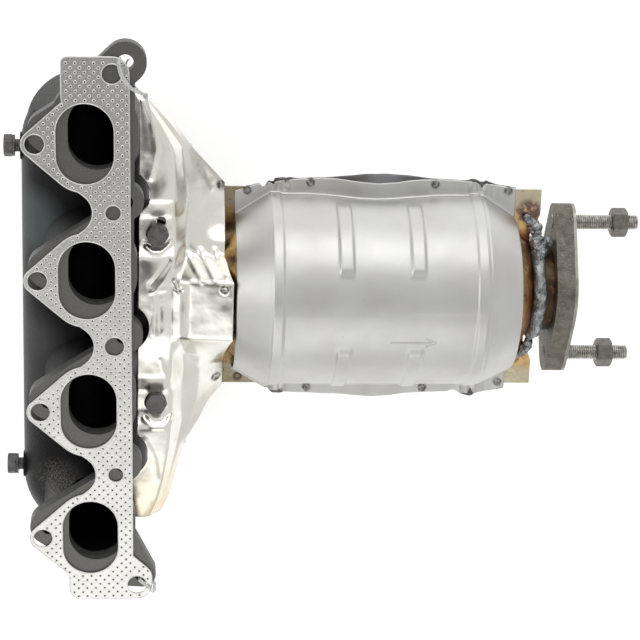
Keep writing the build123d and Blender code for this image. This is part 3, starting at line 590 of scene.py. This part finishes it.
def make_finishes(sizes, colours):
    """Makes every material once and gives them back by the slot they dress."""
    graphite = (14.0, colours.gasket, "cecdc9")
    bead = (5.0, "b4b9bb", "777d80", 0.35, 0.65)
    slag = ((3.0, 0.62, 0.7, "5a5448"), (1.3, 0.64, 0.7, "c9cdd0"))
    scale = (6.0, colours.outlet, "5b574f", 0.35)
    sand = ((1.5, 0.6, 0.72, "989389"),)
    phosphate = (4.0, "716f6d", "575553")
    nylon = {"IOR": 1.53, "Transmission_Weight": 0.55}
    return {
        "cast_iron": finish_casting(sizes, colours),
        "bright_shield": finish_bright(colours),
        "satin_shield": finish_satin(colours),
        "tinted_can": finish_tinted(),
        "ceramic": finish_ceramic(),
        # Graphite-faced steel core: a soft metallic grey, a little cloudy
        "perforated_core": plain("Graphite faced sheet", 0.27, 0.95, graphite, bump=(1.6, 0.03)),
        # Sheared steel: bright and clean
        "cut_edge": plain("Sheared steel edge", 0.35, 0.8, (3.0, "e4e3df", "d0cfcb")),
        # Painted shade: a dark cap at the bottom of a pierced tang stands in for its hole
        "pierced": plain("Pierced hole shade", 0.7, 0.3, (2.0, "262524", "343331")),
        # The satin sheet's inner side, mostly unseen: darker grey, painted shade where the seam
        # gapes
        "inner_sheet": plain("Shaded inner stainless sheet", 0.5, 0.8, (20.0, "77777a", "5f5d5b")),
        # Gas-shielded weld in stainless wire: blue-grey, with small ripples and slag
        "weld": plain("Stainless weld bead", 0.42, 0.85, bead, slag, (1.4, 0.45)),
        # Flame-cut steel plate: taupe scale with a rough, sandy face
        "flange_steel": plain("Scaled steel plate", 0.46, 0.75, scale, sand, (1.3, 0.3)),
        # Thin rolled steel layers: dull silver
        "outlet_gasket": plain("Layered steel sheet", 0.35, 1.0, (5.0, "8f8b83", "aaa69d")),
        # Plated steel threads: warm silver, darker in the roots
        "zinc": plain("Plated steel thread", 0.32, 1.0, (3.0, "cfcdc8", "9b9893")),
        # Plain steel nut: dull grey with handling shine
        "nut_steel": plain("Plain steel", 0.42, 0.9, (4.0, "85827c", "68655f"), (), (1.5, 0.05)),
        # Phosphated steel bolt: dark grey and dull
        "dark_bolt": plain("Phosphated steel", 0.46, 0.7, phosphate, bump=(1.2, 0.08)),
        # Natural nylon 6: milky clear with a soft gloss
        "tie": plain("Natural nylon", 0.22, 0.0, (4.0, "eef0ee", "dfe2df"), **nylon),
        # Ceramic fibre mat: off-white felt, its fibres drawn as clumps because they are too fine
        "mat": plain("Ceramic fibre felt", 0.95, 0.0, (2.0, "dcd6c8", "bfb7a5"), (), (0.8, 0.2)),
    }


FINISHES = {}


# Shapes


def grid(columns, rows):
    """A flat grid whose x and y run from 0 to 1."""
    bm = bmesh.new()
    bmesh.ops.create_grid(bm, x_segments=columns, y_segments=rows, size=0.5)
    bmesh.ops.translate(bm, vec=(0.5, 0.5, 0.0), verts=bm.verts)
    return bm


def show(name, data):
    """Puts a mesh, lamp or camera into the scene."""
    shown = bpy.data.objects.new(name, data)
    bpy.context.scene.collection.objects.link(shown)
    return shown


def settle(bm, name, slots, replaced=(), smooth=True):
    """Turns a bmesh in millimetres into a piece on the body, with its finish from a slot."""
    bmesh.ops.scale(bm, vec=(MM, MM, MM), verts=bm.verts)
    for face in bm.faces:
        face.smooth = smooth
    mesh = bpy.data.meshes.new(name)
    bm.to_mesh(mesh)
    bm.free()
    for slot in slots:
        mesh.materials.append(FINISHES[slot])
    piece = show(name, mesh)
    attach(piece, "root")
    if replaced:
        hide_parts(*replaced)
    return piece


def thicken(piece, inner=0):
    """Gives a sheet its thickness, inward from the side its faces look to."""
    wall = piece.modifiers.new("Sheet", "SOLIDIFY")
    wall.thickness = SHEET * MM
    wall.offset = -1.0
    wall.material_offset = inner
    wall.material_offset_rim = 0


def face_sheet(bm, way=1):
    """Turns an open sheet's faces so that it looks up, or down where way is -1."""
    bmesh.ops.recalc_face_normals(bm, faces=bm.faces)
    if sum(f.normal.z for f in bm.faces) * way < 0:
        bmesh.ops.reverse_faces(bm, faces=bm.faces)


def edges_of(verts):
    """The edges at some vertices, each once and always in the same order."""
    return list(dict.fromkeys(e for v in verts for e in v.link_edges))


def curve_mesh(points, rim=0.0):
    """The mesh of a smooth line through the points, or of a tube of radius rim round a run."""
    curve = bpy.data.curves.new("run", "CURVE")
    curve.dimensions = "3D"
    curve.bevel_depth = rim
    curve.bevel_resolution = 1
    spline = curve.splines.new("POLY" if rim else "NURBS")
    spline.points.add(len(points) - 1)
    for point, place in zip(spline.points, points):
        point.co = (*place, 1)
    if rim:
        spline.use_cyclic_u = True
    else:
        spline.order_u = 3
        spline.use_endpoint_u = True
        spline.resolution_u = 8
    holder = bpy.data.objects.new("run", curve)
    mesh = bpy.data.meshes.new_from_object(holder)
    bpy.data.objects.remove(holder)
    bpy.data.curves.remove(curve)
    return mesh


def soot_and_shade_layer(bm):
    """The vertices' attribute that holds how dark weld burns and painted crease shade make them.
    """
    return bm.verts.layers.float.get(SOOT_AND_SHADE) or bm.verts.layers.float.new(SOOT_AND_SHADE)


def paint_crease_shade(bm, spots):
    """Paints shade into the sheet near the spots (x, y, radius, strength)."""
    layer = soot_and_shade_layer(bm)
    for vert in bm.verts:
        for x, y, radius, strength in spots:
            away = math.hypot(vert.co.x - x, vert.co.y - y)
            if away < radius * 1.6:
                amount = strength * ease((radius * 1.6 - away) / (radius * 0.8))
                vert[layer] = max(vert[layer], amount)


def spot_weld(bm, x, y, way=1):
    """Presses one spot weld in: a burnt, raised ring round a paler dimple."""
    layer = soot_and_shade_layer(bm)
    for vert in bm.verts:
        away = math.hypot(vert.co.x - x, vert.co.y - y)
        if away < SPOT_REACH:
            ring = hump((away - SPOT_RING) / 1.3)
            vert.co.z += way * (0.45 * ring - 0.35 * hump(away / 1.6))
            burnt = 0.75 * ring + 0.5 * hump(away / 1.8) + 0.3 * hump(away / SPOT_REACH)
            burnt *= 1 + 1.1 * waver(vert.co.x, vert.co.y, 1.9)
            vert[layer] = max(vert[layer], min(burnt, 1.0))


def shield_line(y):
    """The bright shield's section at y: six (x, z) points from its lip to its far edge."""
    rows = SHIELD_STATIONS
    i = next((k for k in range(len(rows) - 1) if rows[k + 1][0] <= y), len(rows) - 2)
    t = (rows[i][0] - y) / (rows[i][0] - rows[i + 1][0])
    strip, shoulder = (mix(rows[i][k], rows[i + 1][k], t) for k in (1, 2))
    pairs = zip(rows[i][3:], rows[i + 1][3:])
    outer = [(mix(a[0], b[0], t), mix(a[1], b[1], t)) for a, b in pairs]
    lip = mix(LIP_X, LOW_LIP_X, ease((LIP_STEP[0] - y) / LIP_STEP[1]))
    for boss in BOSS_YS:
        reach = SCALLOP_RADIUS**2 - (y - boss) ** 2
        if reach > 0:
            lip = max(lip, ROW_X + math.sqrt(reach))
    return [(lip, strip), (mix(lip, shoulder, 0.125), strip), (shoulder, strip - 0.8)] + outer


def shield_height(x, y, waviness):
    """How far creases, welds and waves lift the bright sheet at (x, y)."""
    z = waviness * waver(x, y, 22.0) + 0.35 * waviness * waver(x, y, 8.0, 4.0)
    for points, half, height in CREASES:
        away = off_line(x, y, points)
        if away < half:
            z += height * hump(away / half)
    return z


def make_bright_shield(sizes):
    """Pressed heat shield over the log: strip, folded wings, seats, creases and scallops."""
    top, bottom = SHIELD_STATIONS[0][0], SHIELD_STATIONS[-1][0]
    bm = grid(*SHIELD_GRID)
    lines = {}
    for vert in bm.verts:
        across, down = vert.co.x, round(vert.co.y, 5)
        y = mix(top, bottom, down)
        line = lines.setdefault(down, shield_line(y))
        start, k = 0.0, 0
        while k < 4 and across > start + SECTION_SHARES[k]:
            start += SECTION_SHARES[k]
            k += 1
        t = (across - start) / SECTION_SHARES[k]
        x, z = (mix(line[k][n], line[k + 1][n], t) for n in (0, 1))
        if k == 1:
            z += STRIP_BULGE * 4 * t * (1 - t)
        vert.co = (x, y, z)
    inner = [v for v in bm.verts if not v.is_boundary]
    for _ in range(SHIELD_SMOOTHING):
        bmesh.ops.smooth_vert(
            bm, verts=inner, factor=0.5, use_axis_x=True, use_axis_y=True, use_axis_z=True
        )
    for vert in bm.verts:
        vert.co.z += shield_height(vert.co.x, vert.co.y, sizes.waviness / MM)
    x, y = BOLT_SLOT
    away = {v: math.hypot(v.co.x - x, (v.co.y - y) * SLOT_SQUEEZE) for v in bm.verts}
    slot = [v for v in bm.verts if away[v] < SLOT_HALF]
    bmesh.ops.delete(bm, geom=slot, context="VERTS")
    face_sheet(bm)
    for place in SHEET_WELDS:
        spot_weld(bm, *place)
    # Painted shade in two crease hollows
    paint_crease_shade(bm, CREASE_SHADE_SPOTS)
    piece = settle(bm, "manifold_shield_sheet", ["bright_shield"], ["manifold_shield"])
    thicken(piece)


def barrel_radius(x, degrees, side):
    """Radius of the converter shield at x, degrees up from its nearer seam."""
    ends = min((x - SHIELD_START), (SHIELD_END - x)) / SHIELD_TAPER
    end_radius = mix(BARREL_ENDS[side], sum(BARREL_ENDS.values()) / 2, degrees / 90)
    radius = mix(end_radius, SHIELD_RADIUS, min(ends, 1.0))
    for bead in BEAD_XS:
        radius += BEAD_HEIGHT * ridge((x - bead) / BEAD_HALF)
    window = ease((degrees - RIB_DEGREES[0]) / 12) * ease((RIB_DEGREES[1] - degrees) / 5)
    for rib in RIB_XS:
        radius += window * RIB_HEIGHT * ridge((x - rib) / RIB_HALF)
    if side > 0:
        place, half, depth, height = SIDE_DENT
        radius -= depth * hump((x - place) / half) * (1 - ease(degrees / height))
    return radius


def seam_edge(x, side):
    """How far the shield's seam flange reaches from the axis."""
    reach = along(SEAM_EDGES[side], x) + 0.5 * waver(x, side * 40, 14.0, 2.0)
    return reach - sum(deep * hump((x - place) / half) for place, half, deep in SEAM_NOTCHES[side])


def make_half_shield(front):
    """One beaded half of the shield round the converter, with its wavy seam flanges."""
    way = 1 if front else -1
    bm = grid(*HALF_GRIDS[way])
    for vert in bm.verts:
        x = mix(SHIELD_START, SHIELD_END, vert.co.x)
        share = vert.co.y
        side = 1 if share < 0.5 else -1
        share = min(share, 1 - share)
        rest = FLANGE_REST + (0.4 if front else 0.2) * waver(x, side * 9, 11.0, way)
        if share < FLANGE_SHARE:
            t = share / FLANGE_SHARE
            foot = barrel_radius(x, 0, side) + side * BARREL_SLIP
            y = mix(seam_edge(x, side), foot + 0.9, t)
            loose = hump((x - GAPE[0]) / GAPE[1]) if side > 0 else 0.0
            z = rest + loose * (1 - t) * GAPE_LIFT[way]
            y -= loose * (1 - t) * GAPE_DRAW[way]
            z += 0.3 * ease((t - 0.8) / 0.2)
            crumple = sum(hump((x - place) / half) for place, half in CRUMPLES)
            z += crumple * (1 - t) * (1.3 * math.sin(x / 1.9) + 0.8 * math.sin(x / 0.8 + 1.0))
            if not front:
                y += 2.0 * crumple * (1 - t)
        else:
            degrees = 90 * (share - FLANGE_SHARE) / (0.5 - FLANGE_SHARE)
            radius = barrel_radius(x, degrees, side)
            radius += 0.22 * waver(x, degrees * side, 34.0, way * 3)
            radius += 0.07 * waver(x, degrees * side, 11.0, 5)
            angle = math.radians(degrees)
            y = radius * math.cos(angle) + side * BARREL_SLIP
            rise = radius * math.sin(angle) - 3.0 - rest
            z = rest + (rise + math.hypot(rise, 2.0)) / 2
        vert.co = (x, AXIS_Y + side * y, AXIS_Z + way * z)
    face_sheet(bm, way)
    for side, places in SEAM_WELDS.items():
        for x, reach in places:
            spot_weld(bm, x, AXIS_Y + side * reach, way)
    name = "converter_shield_front" if front else "converter_shield_rear"
    piece = settle(bm, name + "_sheet", ["satin_shield", "inner_sheet"], [name])
    thicken(piece, inner=1)


def ordered_loops(edges):
    """Closed runs of points along edges."""
    left = dict.fromkeys(edges)
    loops = []
    while left:
        edge, _ = left.popitem()
        first, vert = edge.verts
        run = [first.co.copy()]
        while vert != first:
            run.append(vert.co.copy())
            edge = next((e for e in vert.link_edges if e in left), None)
            if edge is None:
                break
            del left[edge]
            vert = edge.other_vert(vert)
        loops.append(run)
    return loops


def covered(x, y, loops):
    """Whether (x, y) lies on the gasket, inside its outline and outside its holes."""
    hit = False
    for run in loops:
        for (ax, ay, _), (bx, by, _) in zip(run, run[1:] + run[:1]):
            if (ay > y) != (by > y) and x < ax + (y - ay) / (by - ay) * (bx - ax):
                hit = not hit
    return hit


def make_rims(loops):
    """The gasket's rounded, sheared edges."""
    bm = bmesh.new()
    for run in loops:
        mesh = curve_mesh([(x, y, z - RIM_SINK) for x, y, z in run], RIM_RADIUS)
        bm.from_mesh(mesh)
        bpy.data.meshes.remove(mesh)
    for vert in bm.verts:
        vert.co.y = max(vert.co.y, CAD_BOX[0][1] / MM)
    settle(bm, "head_gasket_edges", ["cut_edge"])


def tang_mesh():
    """One pierced tang: a raised ring round a bottom painted dark as the hole's shade."""
    bm = bmesh.new()
    last = len(TANG_RINGS) - 1
    rings = []
    for k, (radius, height) in enumerate(TANG_RINGS):
        place = Matrix.Translation((0, 0, height))
        circle = bmesh.ops.create_circle(
            bm, cap_ends=k == last, radius=radius, segments=8, matrix=place
        )
        rings.append(edges_of(circle["verts"]))
    for low, high in zip(rings, rings[1:]):
        bmesh.ops.bridge_loops(bm, edges=low + high)
    for face in bm.faces:
        face.material_index = 1 if len(face.verts) > 4 else 0
    bmesh.ops.recalc_face_normals(bm, faces=bm.faces)
    mesh = bpy.data.meshes.new("tang")
    bm.to_mesh(mesh)
    bm.free()
    return mesh


def make_tangs(sizes, loops):
    """The gasket's field of tangs, each turned by chance, wherever a whole one fits."""
    stamp = tang_mesh()
    field = bmesh.new()
    turn = Matrix.Rotation(GASKET_TURN, 3, "Z")
    pitch, row_pitch = sizes.perforation / MM, sizes.perforation_row / MM
    reach = TANG_RINGS[0][0]
    dice = random.Random(7)
    for row in TANG_ROWS:
        for column in TANG_COLUMNS:
            place = Vector((column * pitch + (row % 2) * pitch / 2, row * row_pitch, 0))
            spot = turn @ place + Vector((*GASKET_SLIP, GASKET_TOP))
            ring = [
                (spot.x + reach * math.cos(a), spot.y + reach * math.sin(a))
                for a in (0, 1.26, 2.51, 3.77, 5.03)
            ]
            if not all(covered(x, y, loops) for x, y in ring):
                continue
            before = len(field.verts)
            field.from_mesh(stamp)
            field.verts.ensure_lookup_table()
            fresh = field.verts[before:]
            chance = Matrix.Rotation(dice.random() * 3, 3, "Z")
            bmesh.ops.rotate(field, verts=fresh, cent=(0, 0, 0), matrix=chance)
            bmesh.ops.translate(field, verts=fresh, vec=spot)
    bpy.data.meshes.remove(stamp)
    settle(field, "head_gasket_tangs", ["cut_edge", "pierced"])


def make_gasket(sizes):
    """Perforated gasket: the sheet, its sheared edges and a small tang at each perforation."""
    bm = bmesh.new()
    bm.from_mesh(NODES["head_gasket"].data)
    bmesh.ops.scale(bm, vec=(1 / MM,) * 3, verts=bm.verts)
    bmesh.ops.remove_doubles(bm, verts=bm.verts, dist=0.002)
    sharp = [e for e in bm.edges if len(e.link_faces) == 2 and e.calc_face_angle() > 1.0]
    loops = ordered_loops(e for e in sharp if min(v.co.z for v in e.verts) > GASKET_TOP - 0.1)
    for face in bm.faces:
        if abs(face.normal.z) < 0.5:
            face.material_index = 1
    sheet = ["perforated_core", "cut_edge"]
    settle(bm, "head_gasket_sheet", sheet, ["head_gasket"], smooth=False)
    make_rims(loops)
    make_tangs(sizes, loops)


def slot_reach(angle, offset, turn, height, width):
    """Distance along an angle from the origin to the edge of an upright slot set off from it."""
    half = (height - width) / 2
    near, far = 0.0, height
    for _ in range(24):
        reach = (near + far) / 2
        x = reach * math.cos(angle) - offset[0]
        y = reach * math.sin(angle) - offset[1]
        across = x * math.cos(turn) + y * math.sin(turn)
        up = y * math.cos(turn) - x * math.sin(turn)
        inside = math.hypot(across, max(abs(up) - half, 0.0)) < width / 2
        near, far = (reach, far) if inside else (near, reach)
    return near


def make_port_lips():
    """The casting's lip round each port, as wide as the slipped gasket lets one see."""
    bm = bmesh.new()
    opening = (GASKET_PORT_HEIGHT + LIP_MARGIN, PORT_WIDTH + LIP_MARGIN)
    for row in (-1.5, -0.5, 0.5, 1.5):
        centre = Vector((PORT_X, row * PORT_PITCH, 0.0))
        turned = Matrix.Rotation(GASKET_TURN, 3, "Z") @ centre
        offset = turned + Vector((*GASKET_SLIP, 0.0)) - centre

        def shape(verts, wide, z):
            for vert in verts:
                angle = math.atan2(vert.co.y - centre.y, vert.co.x - centre.x)
                reach = slot_reach(angle, (0, 0), 0.0, PORT_HEIGHT, PORT_WIDTH)
                if wide:
                    seen = slot_reach(angle, offset, GASKET_TURN, *opening)
                    reach = max(reach + LIP_LEAST, seen)
                vert.co = centre + Vector((reach * math.cos(angle), reach * math.sin(angle), z))

        place = Matrix.Translation(centre)
        circle = bmesh.ops.create_circle(bm, radius=1.0, segments=96, matrix=place)["verts"]
        first = edges_of(circle)
        shape(circle, False, LIP_RISE)
        edges = first
        for wide, z in ((False, -FLANGE_DEPTH), (True, -FLANGE_DEPTH), (True, LIP_RISE)):
            fresh = bmesh.ops.extrude_edge_only(bm, edges=edges)["geom"]
            shape([g for g in fresh if isinstance(g, bmesh.types.BMVert)], wide, z)
            edges = [g for g in fresh if isinstance(g, bmesh.types.BMEdge)]
        bmesh.ops.bridge_loops(bm, edges=first + edges)
    bmesh.ops.recalc_face_normals(bm, faces=bm.faces)
    settle(bm, "manifold_port_lips", ["cast_iron"], smooth=False)


def threaded(start, end, y, z, radius, pitch, steps=20):
    """A threaded rod along x, cut square at both ends, its far end chamfered."""
    bm = bmesh.new()
    depth = THREAD_DEPTH * pitch
    shape = ((0.0, -depth), *((share, 0.0) for share in THREAD_CREST), (1.0, -depth))
    verts = [bm.verts.new((start - pitch + u * pitch, y, z + radius + r)) for u, r in shape]
    edges = [bm.edges.new(pair) for pair in zip(verts, verts[1:])]
    turns = math.ceil((end - start) / pitch) + 2
    bmesh.ops.spin(
        bm, geom=verts + edges, cent=(0, y, z), axis=(1, 0, 0), dvec=(pitch / steps, 0, 0),
        angle=2 * math.pi * turns, steps=steps * turns,
    )
    bmesh.ops.remove_doubles(bm, verts=bm.verts, dist=0.01)
    for place, side in ((start, -1), (end, 1)):
        geom = bm.verts[:] + bm.edges[:] + bm.faces[:]
        cut = bmesh.ops.bisect_plane(
            bm, geom=geom, plane_co=(place, y, z), plane_no=(side, 0, 0), clear_outer=True
        )
        rim = [g for g in cut["geom_cut"] if isinstance(g, bmesh.types.BMEdge)]
        bmesh.ops.contextual_create(bm, geom=rim)
    for vert in bm.verts:
        limit = radius - CHAMFER + (end - vert.co.x)
        away = math.hypot(vert.co.y - y, vert.co.z - z)
        if away > limit > 0:
            vert.co.y = y + (vert.co.y - y) * limit / away
            vert.co.z = z + (vert.co.z - z) * limit / away
    bmesh.ops.recalc_face_normals(bm, faces=bm.faces)
    return bm


def make_threads(sizes):
    """Outlet studs and the exposed stretch of the side bolts, with real threads."""
    for label, y in zip(("upper", "lower"), STUD_YS):
        bm = threaded(*STUD_RUN, y, AXIS_Z, STUD_RADIUS, sizes.stud_pitch / MM)
        for face in bm.faces:
            if face.normal.x < -0.9:
                face.material_index = 1
        name, slots = "outlet_stud_" + label, ["zinc", "flange_steel"]
        settle(bm, name + "_thread", slots, [name], smooth=False)
    for label, (x, y, z) in zip(("upper", "lower"), SIDE_BOLTS):
        start, end = (x + reach for reach in SIDE_THREAD)
        bm = threaded(start, end, y, z, SIDE_RADIUS, sizes.bolt_pitch / MM)
        settle(bm, "side_bolt_%s_thread" % label, ["dark_bolt"], smooth=False)


def add_slag(bm):
    """Lumpy runs of slag where the outlet's bead starts and ends."""
    dice = random.Random(11)
    for start, end, count, size in SLAG_RUNS:
        for k in range(count):
            stray = Vector([dice.uniform(-1.6, 1.6) for _ in range(3)])
            spot = Vector(start).lerp(Vector(end), k / (count - 1)) + stray
            radius = size * dice.uniform(0.65, 1.15)
            for vert in bmesh.ops.create_icosphere(bm, subdivisions=3, radius=radius)["verts"]:
                swell = noise.noise(vert.co / (0.8 * radius) + 3 * spot)
                vert.co *= 1 + 0.4 * swell
                vert.co.z *= 0.6
                vert.co += spot


def roughen_bead(bm, base, rise):
    """Gives a smooth bead its ripples, lumps and wandering course."""
    for vert in bm.verts:
        dy, dz = vert.co.y - AXIS_Y, vert.co.z - AXIS_Z
        away = math.hypot(dy, dz)
        share = (away - base) / rise
        if share < 0.05:
            continue
        ripple = 0.3 * math.sin(math.atan2(dz, dy) * BEAD_RIPPLES + 1.2 * share) * share
        lump = noise.noise(Vector((vert.co.x / 5, dy / 6, dz / 6))) * 2.6 * share
        lump += noise.noise(Vector((vert.co.x / 2, dy / 2.5, dz / 2.5))) * 0.8 * share
        fresh = away + min(ripple + lump, BEAD_LUMP_LIMIT)
        vert.co.x += 1.5 * noise.noise(Vector((3, dy / 6, dz / 6))) * (0.3 + share)
        vert.co.y = AXIS_Y + dy * fresh / away
        vert.co.z = AXIS_Z + dz * fresh / away


def make_welds():
    """Hand-laid weld beads: a heavy ring at the outlet and a lighter one at the inlet."""
    for name, x, base, rise, half, steps in WELDS:
        bm = bmesh.new()
        arc = [math.radians(a) for a in range(0, 181, 15)]
        places = [(x - half * math.cos(a), base + rise * math.sin(a)) for a in arc]
        verts = [bm.verts.new((place, AXIS_Y, AXIS_Z + radius)) for place, radius in places]
        edges = [bm.edges.new(pair) for pair in zip(verts, verts[1:])]
        edges.append(bm.edges.new((verts[-1], verts[0])))
        bmesh.ops.spin(
            bm, geom=verts + edges, cent=(0, AXIS_Y, AXIS_Z), axis=(1, 0, 0),
            angle=2 * math.pi, steps=steps, use_merge=True,
        )
        bmesh.ops.remove_doubles(bm, verts=bm.verts, dist=0.02)
        roughen_bead(bm, base, rise)
        if name == "outlet_weld":
            add_slag(bm)
        bmesh.ops.recalc_face_normals(bm, faces=bm.faces)
        settle(bm, name + "_bead", ["weld"], [name])


def ribbon(bm, points, side, widths, thickness):
    """A flat strap through the points whose width along side runs from one value to another."""
    mesh = curve_mesh(points)
    line = [v.co.copy() for v in mesh.vertices]
    bpy.data.meshes.remove(mesh)
    side = Vector(side).normalized()
    corners = bmesh.ops.create_circle(bm, cap_ends=True, radius=0.5, segments=4)["verts"]
    face = corners[0].link_faces[0]
    for i, spot in enumerate(line):
        if i:
            fresh = bmesh.ops.extrude_face_region(bm, geom=[face])["geom"]
            bmesh.ops.delete(bm, geom=[face], context="FACES_ONLY")
            face = next(g for g in fresh if isinstance(g, bmesh.types.BMFace))
        course = (line[min(i + 1, len(line) - 1)] - line[max(i - 1, 0)]).normalized()
        up = course.cross(side).normalized()
        width = mix(*widths, i / (len(line) - 1))
        for vert, (a, b) in zip(face.verts, ((-1, -1), (1, -1), (1, 1), (-1, 1))):
            vert.co = spot + side * a * width / 2 + up * b * thickness / 2
    bmesh.ops.holes_fill(bm, edges=[e for e in bm.edges if e.is_boundary], sides=4)


def make_ties():
    """The clear nylon tie through the gasket's top hole: its band, its tail and its head."""
    bm = bmesh.new()
    for run in TIE_RUNS:
        ribbon(bm, *run)
    head = bmesh.ops.create_cube(bm, size=1.0)["verts"]
    bmesh.ops.scale(bm, vec=TIE_HEAD_SIZE, verts=head)
    bmesh.ops.translate(bm, vec=TIE_HEAD, verts=head)
    bmesh.ops.bevel(
        bm, geom=edges_of(head), offset=0.7, segments=3, profile=0.5, affect="EDGES", material=-1
    )
    bmesh.ops.recalc_face_normals(bm, faces=bm.faces)
    settle(bm, "gasket_tie_upper_strap", ["tie"], ["gasket_tie_upper"], smooth=False)


def dress_nodes():
    """Gives every carried-over node its finish."""
    slots = {part["node"]: part["material_slot"] for part in frame["record"]["subparts"]}
    for name, node in NODES.items():
        node.data.materials.clear()
        node.data.materials.append(FINISHES[slots[name]])


def make_floor(colours):
    """Pale paper under the object, which glows white to the camera and keeps the shadow."""
    bm = grid(1, 1)
    for vert in bm.verts:
        x, y = ((part - 0.5) * FLOOR_SPAN for part in vert.co.xy)
        vert.co = (x, y, CAD_BOX[0][2] - FLOOR_GAP)
    mesh = bpy.data.meshes.new("floor")
    bm.to_mesh(mesh)
    bm.free()
    floor = show("floor", mesh)
    paper = Finish("Pale seamless paper", Roughness=0.9, Emission_Color=(1, 1, 1, 1))
    paper.link("Base Color", paper.cover(list(colours.floor), 0.5, "8a8a88"))
    seen = 0.0
    for ray in ("Is Camera Ray", "Is Glossy Ray", "Is Transmission Ray"):
        seen = paper.add("Math", (seen, paper.add("LightPath", out=ray)), operation="MAXIMUM")
    glow = paper.add("Math", (seen, FLOOR_GLOW), operation="MULTIPLY")
    paper.link("Emission Strength", glow)
    mesh.materials.append(paper.material)


def make_sky():
    """Even pale light from all round, with one dark patch overhead, and white to the camera."""
    world = bpy.data.worlds.new("Studio")
    bpy.context.scene.world = world
    world.use_nodes = True
    tree = world.node_tree
    back = tree.nodes["Background"]
    facing = add(tree, "TexCoord", out="Generated")
    overhead = add(tree, "VectorMath", (facing, DARK_SKY), out=1, operation="DOT_PRODUCT")
    zenith = add(tree, "MapRange", (overhead, *DARK_SKY_EDGE))
    sky = cover(tree, "e2e2e1", zenith, "525252")
    sky = cover(tree, sky, add(tree, "LightPath", out="Is Camera Ray"), "ffffff")
    tree.links.new(sky, back.inputs["Color"])
    back.inputs["Strength"].default_value = 1.0


def make_stage(colours):
    """Floor, lamps, background and camera."""
    scene = bpy.context.scene
    scene.view_settings.view_transform = "Standard"
    make_floor(colours)
    make_sky()
    for name, place, size, power in LAMPS:
        data = bpy.data.lights.new(name, "AREA")
        data.shape = "RECTANGLE"
        data.size, data.size_y = size
        data.energy = power
        lamp = show(name, data)
        lamp.location = place
        lamp.rotation_mode = "QUATERNION"
        aim = Vector(LAMP_AIM) - Vector(place)
        lamp.rotation_quaternion = aim.to_track_quat("-Z", "Y")

    data = bpy.data.cameras.new("camera")
    data.sensor_width = 36.0
    data.lens = CAMERA_LENS
    camera = show("camera", data)
    camera.location = CAMERA_PLACE
    camera.rotation_mode = "ZYX"
    camera.rotation_euler = [math.radians(turn) for turn in CAMERA_DEGREES]
    scene.camera = camera


class ConverterStep:
    """What every step's button shares."""

    bl_options = {"REGISTER", "UNDO"}


class CONVERTER_OT_stage(ConverterStep, bpy.types.Operator):
    """Sets the floor, lamps, background and camera"""

    bl_idname = "converter.stage"
    bl_label = "Stage"

    def execute(self, context):
        make_stage(context.scene.converter_colours)
        return {"FINISHED"}


class CONVERTER_OT_finishes(ConverterStep, bpy.types.Operator):
    """Makes the finishes and gives them to the carried-over nodes"""

    bl_idname = "converter.finishes"
    bl_label = "Finishes"

    def execute(self, context):
        scene = context.scene
        FINISHES.update(make_finishes(scene.converter_sizes, scene.converter_colours))
        dress_nodes()
        return {"FINISHED"}


class CONVERTER_OT_gasket(ConverterStep, bpy.types.Operator):
    """Adds the perforated head gasket and the port lips seen through it"""

    bl_idname = "converter.gasket"
    bl_label = "Head gasket"

    def execute(self, context):
        make_port_lips()
        make_gasket(context.scene.converter_sizes)
        return {"FINISHED"}


class CONVERTER_OT_bright_shield(ConverterStep, bpy.types.Operator):
    """Adds the bright shield over the log"""

    bl_idname = "converter.bright_shield"
    bl_label = "Manifold shield"

    def execute(self, context):
        make_bright_shield(context.scene.converter_sizes)
        return {"FINISHED"}


class CONVERTER_OT_satin_shields(ConverterStep, bpy.types.Operator):
    """Adds both halves of the converter's shield"""

    bl_idname = "converter.satin_shields"
    bl_label = "Converter shields"

    def execute(self, context):
        make_half_shield(True)
        make_half_shield(False)
        return {"FINISHED"}


class CONVERTER_OT_welds(ConverterStep, bpy.types.Operator):
    """Adds the weld beads"""

    bl_idname = "converter.welds"
    bl_label = "Weld beads"

    def execute(self, context):
        make_welds()
        return {"FINISHED"}


class CONVERTER_OT_threads(ConverterStep, bpy.types.Operator):
    """Adds the studs' and bolts' threads"""

    bl_idname = "converter.threads"
    bl_label = "Threads"

    def execute(self, context):
        make_threads(context.scene.converter_sizes)
        return {"FINISHED"}


class CONVERTER_OT_ties(ConverterStep, bpy.types.Operator):
    """Adds the upper nylon tie; the lower one keeps its solid's shape"""

    bl_idname = "converter.ties"
    bl_label = "Ties"

    def execute(self, context):
        make_ties()
        return {"FINISHED"}


STEPS = (
    CONVERTER_OT_stage,
    CONVERTER_OT_finishes,
    CONVERTER_OT_gasket,
    CONVERTER_OT_bright_shield,
    CONVERTER_OT_satin_shields,
    CONVERTER_OT_welds,
    CONVERTER_OT_threads,
    CONVERTER_OT_ties,
)


class CONVERTER_PT_panel(bpy.types.Panel):
    """Lists the steps in the sidebar"""

    bl_label = "Converter"
    bl_idname = "CONVERTER_PT_panel"
    bl_space_type = "VIEW_3D"
    bl_region_type = "UI"
    bl_category = "Converter"

    def draw(self, context):
        for step in STEPS:
            self.layout.operator(step.bl_idname)


CLASSES = (SizeSettings, ColourSettings, *STEPS, CONVERTER_PT_panel)


def register():
    for cls in CLASSES:
        bpy.utils.register_class(cls)
    bpy.types.Scene.converter_sizes = PointerProperty(type=SizeSettings)
    bpy.types.Scene.converter_colours = PointerProperty(type=ColourSettings)


def unregister():
    del bpy.types.Scene.converter_colours
    del bpy.types.Scene.converter_sizes
    for cls in reversed(CLASSES):
        bpy.utils.unregister_class(cls)


def main():
    register()
    for step in STEPS:
        group, name = step.bl_idname.split(".")
        getattr(getattr(bpy.ops, group), name)()


if __name__ == "__main__":
    main()
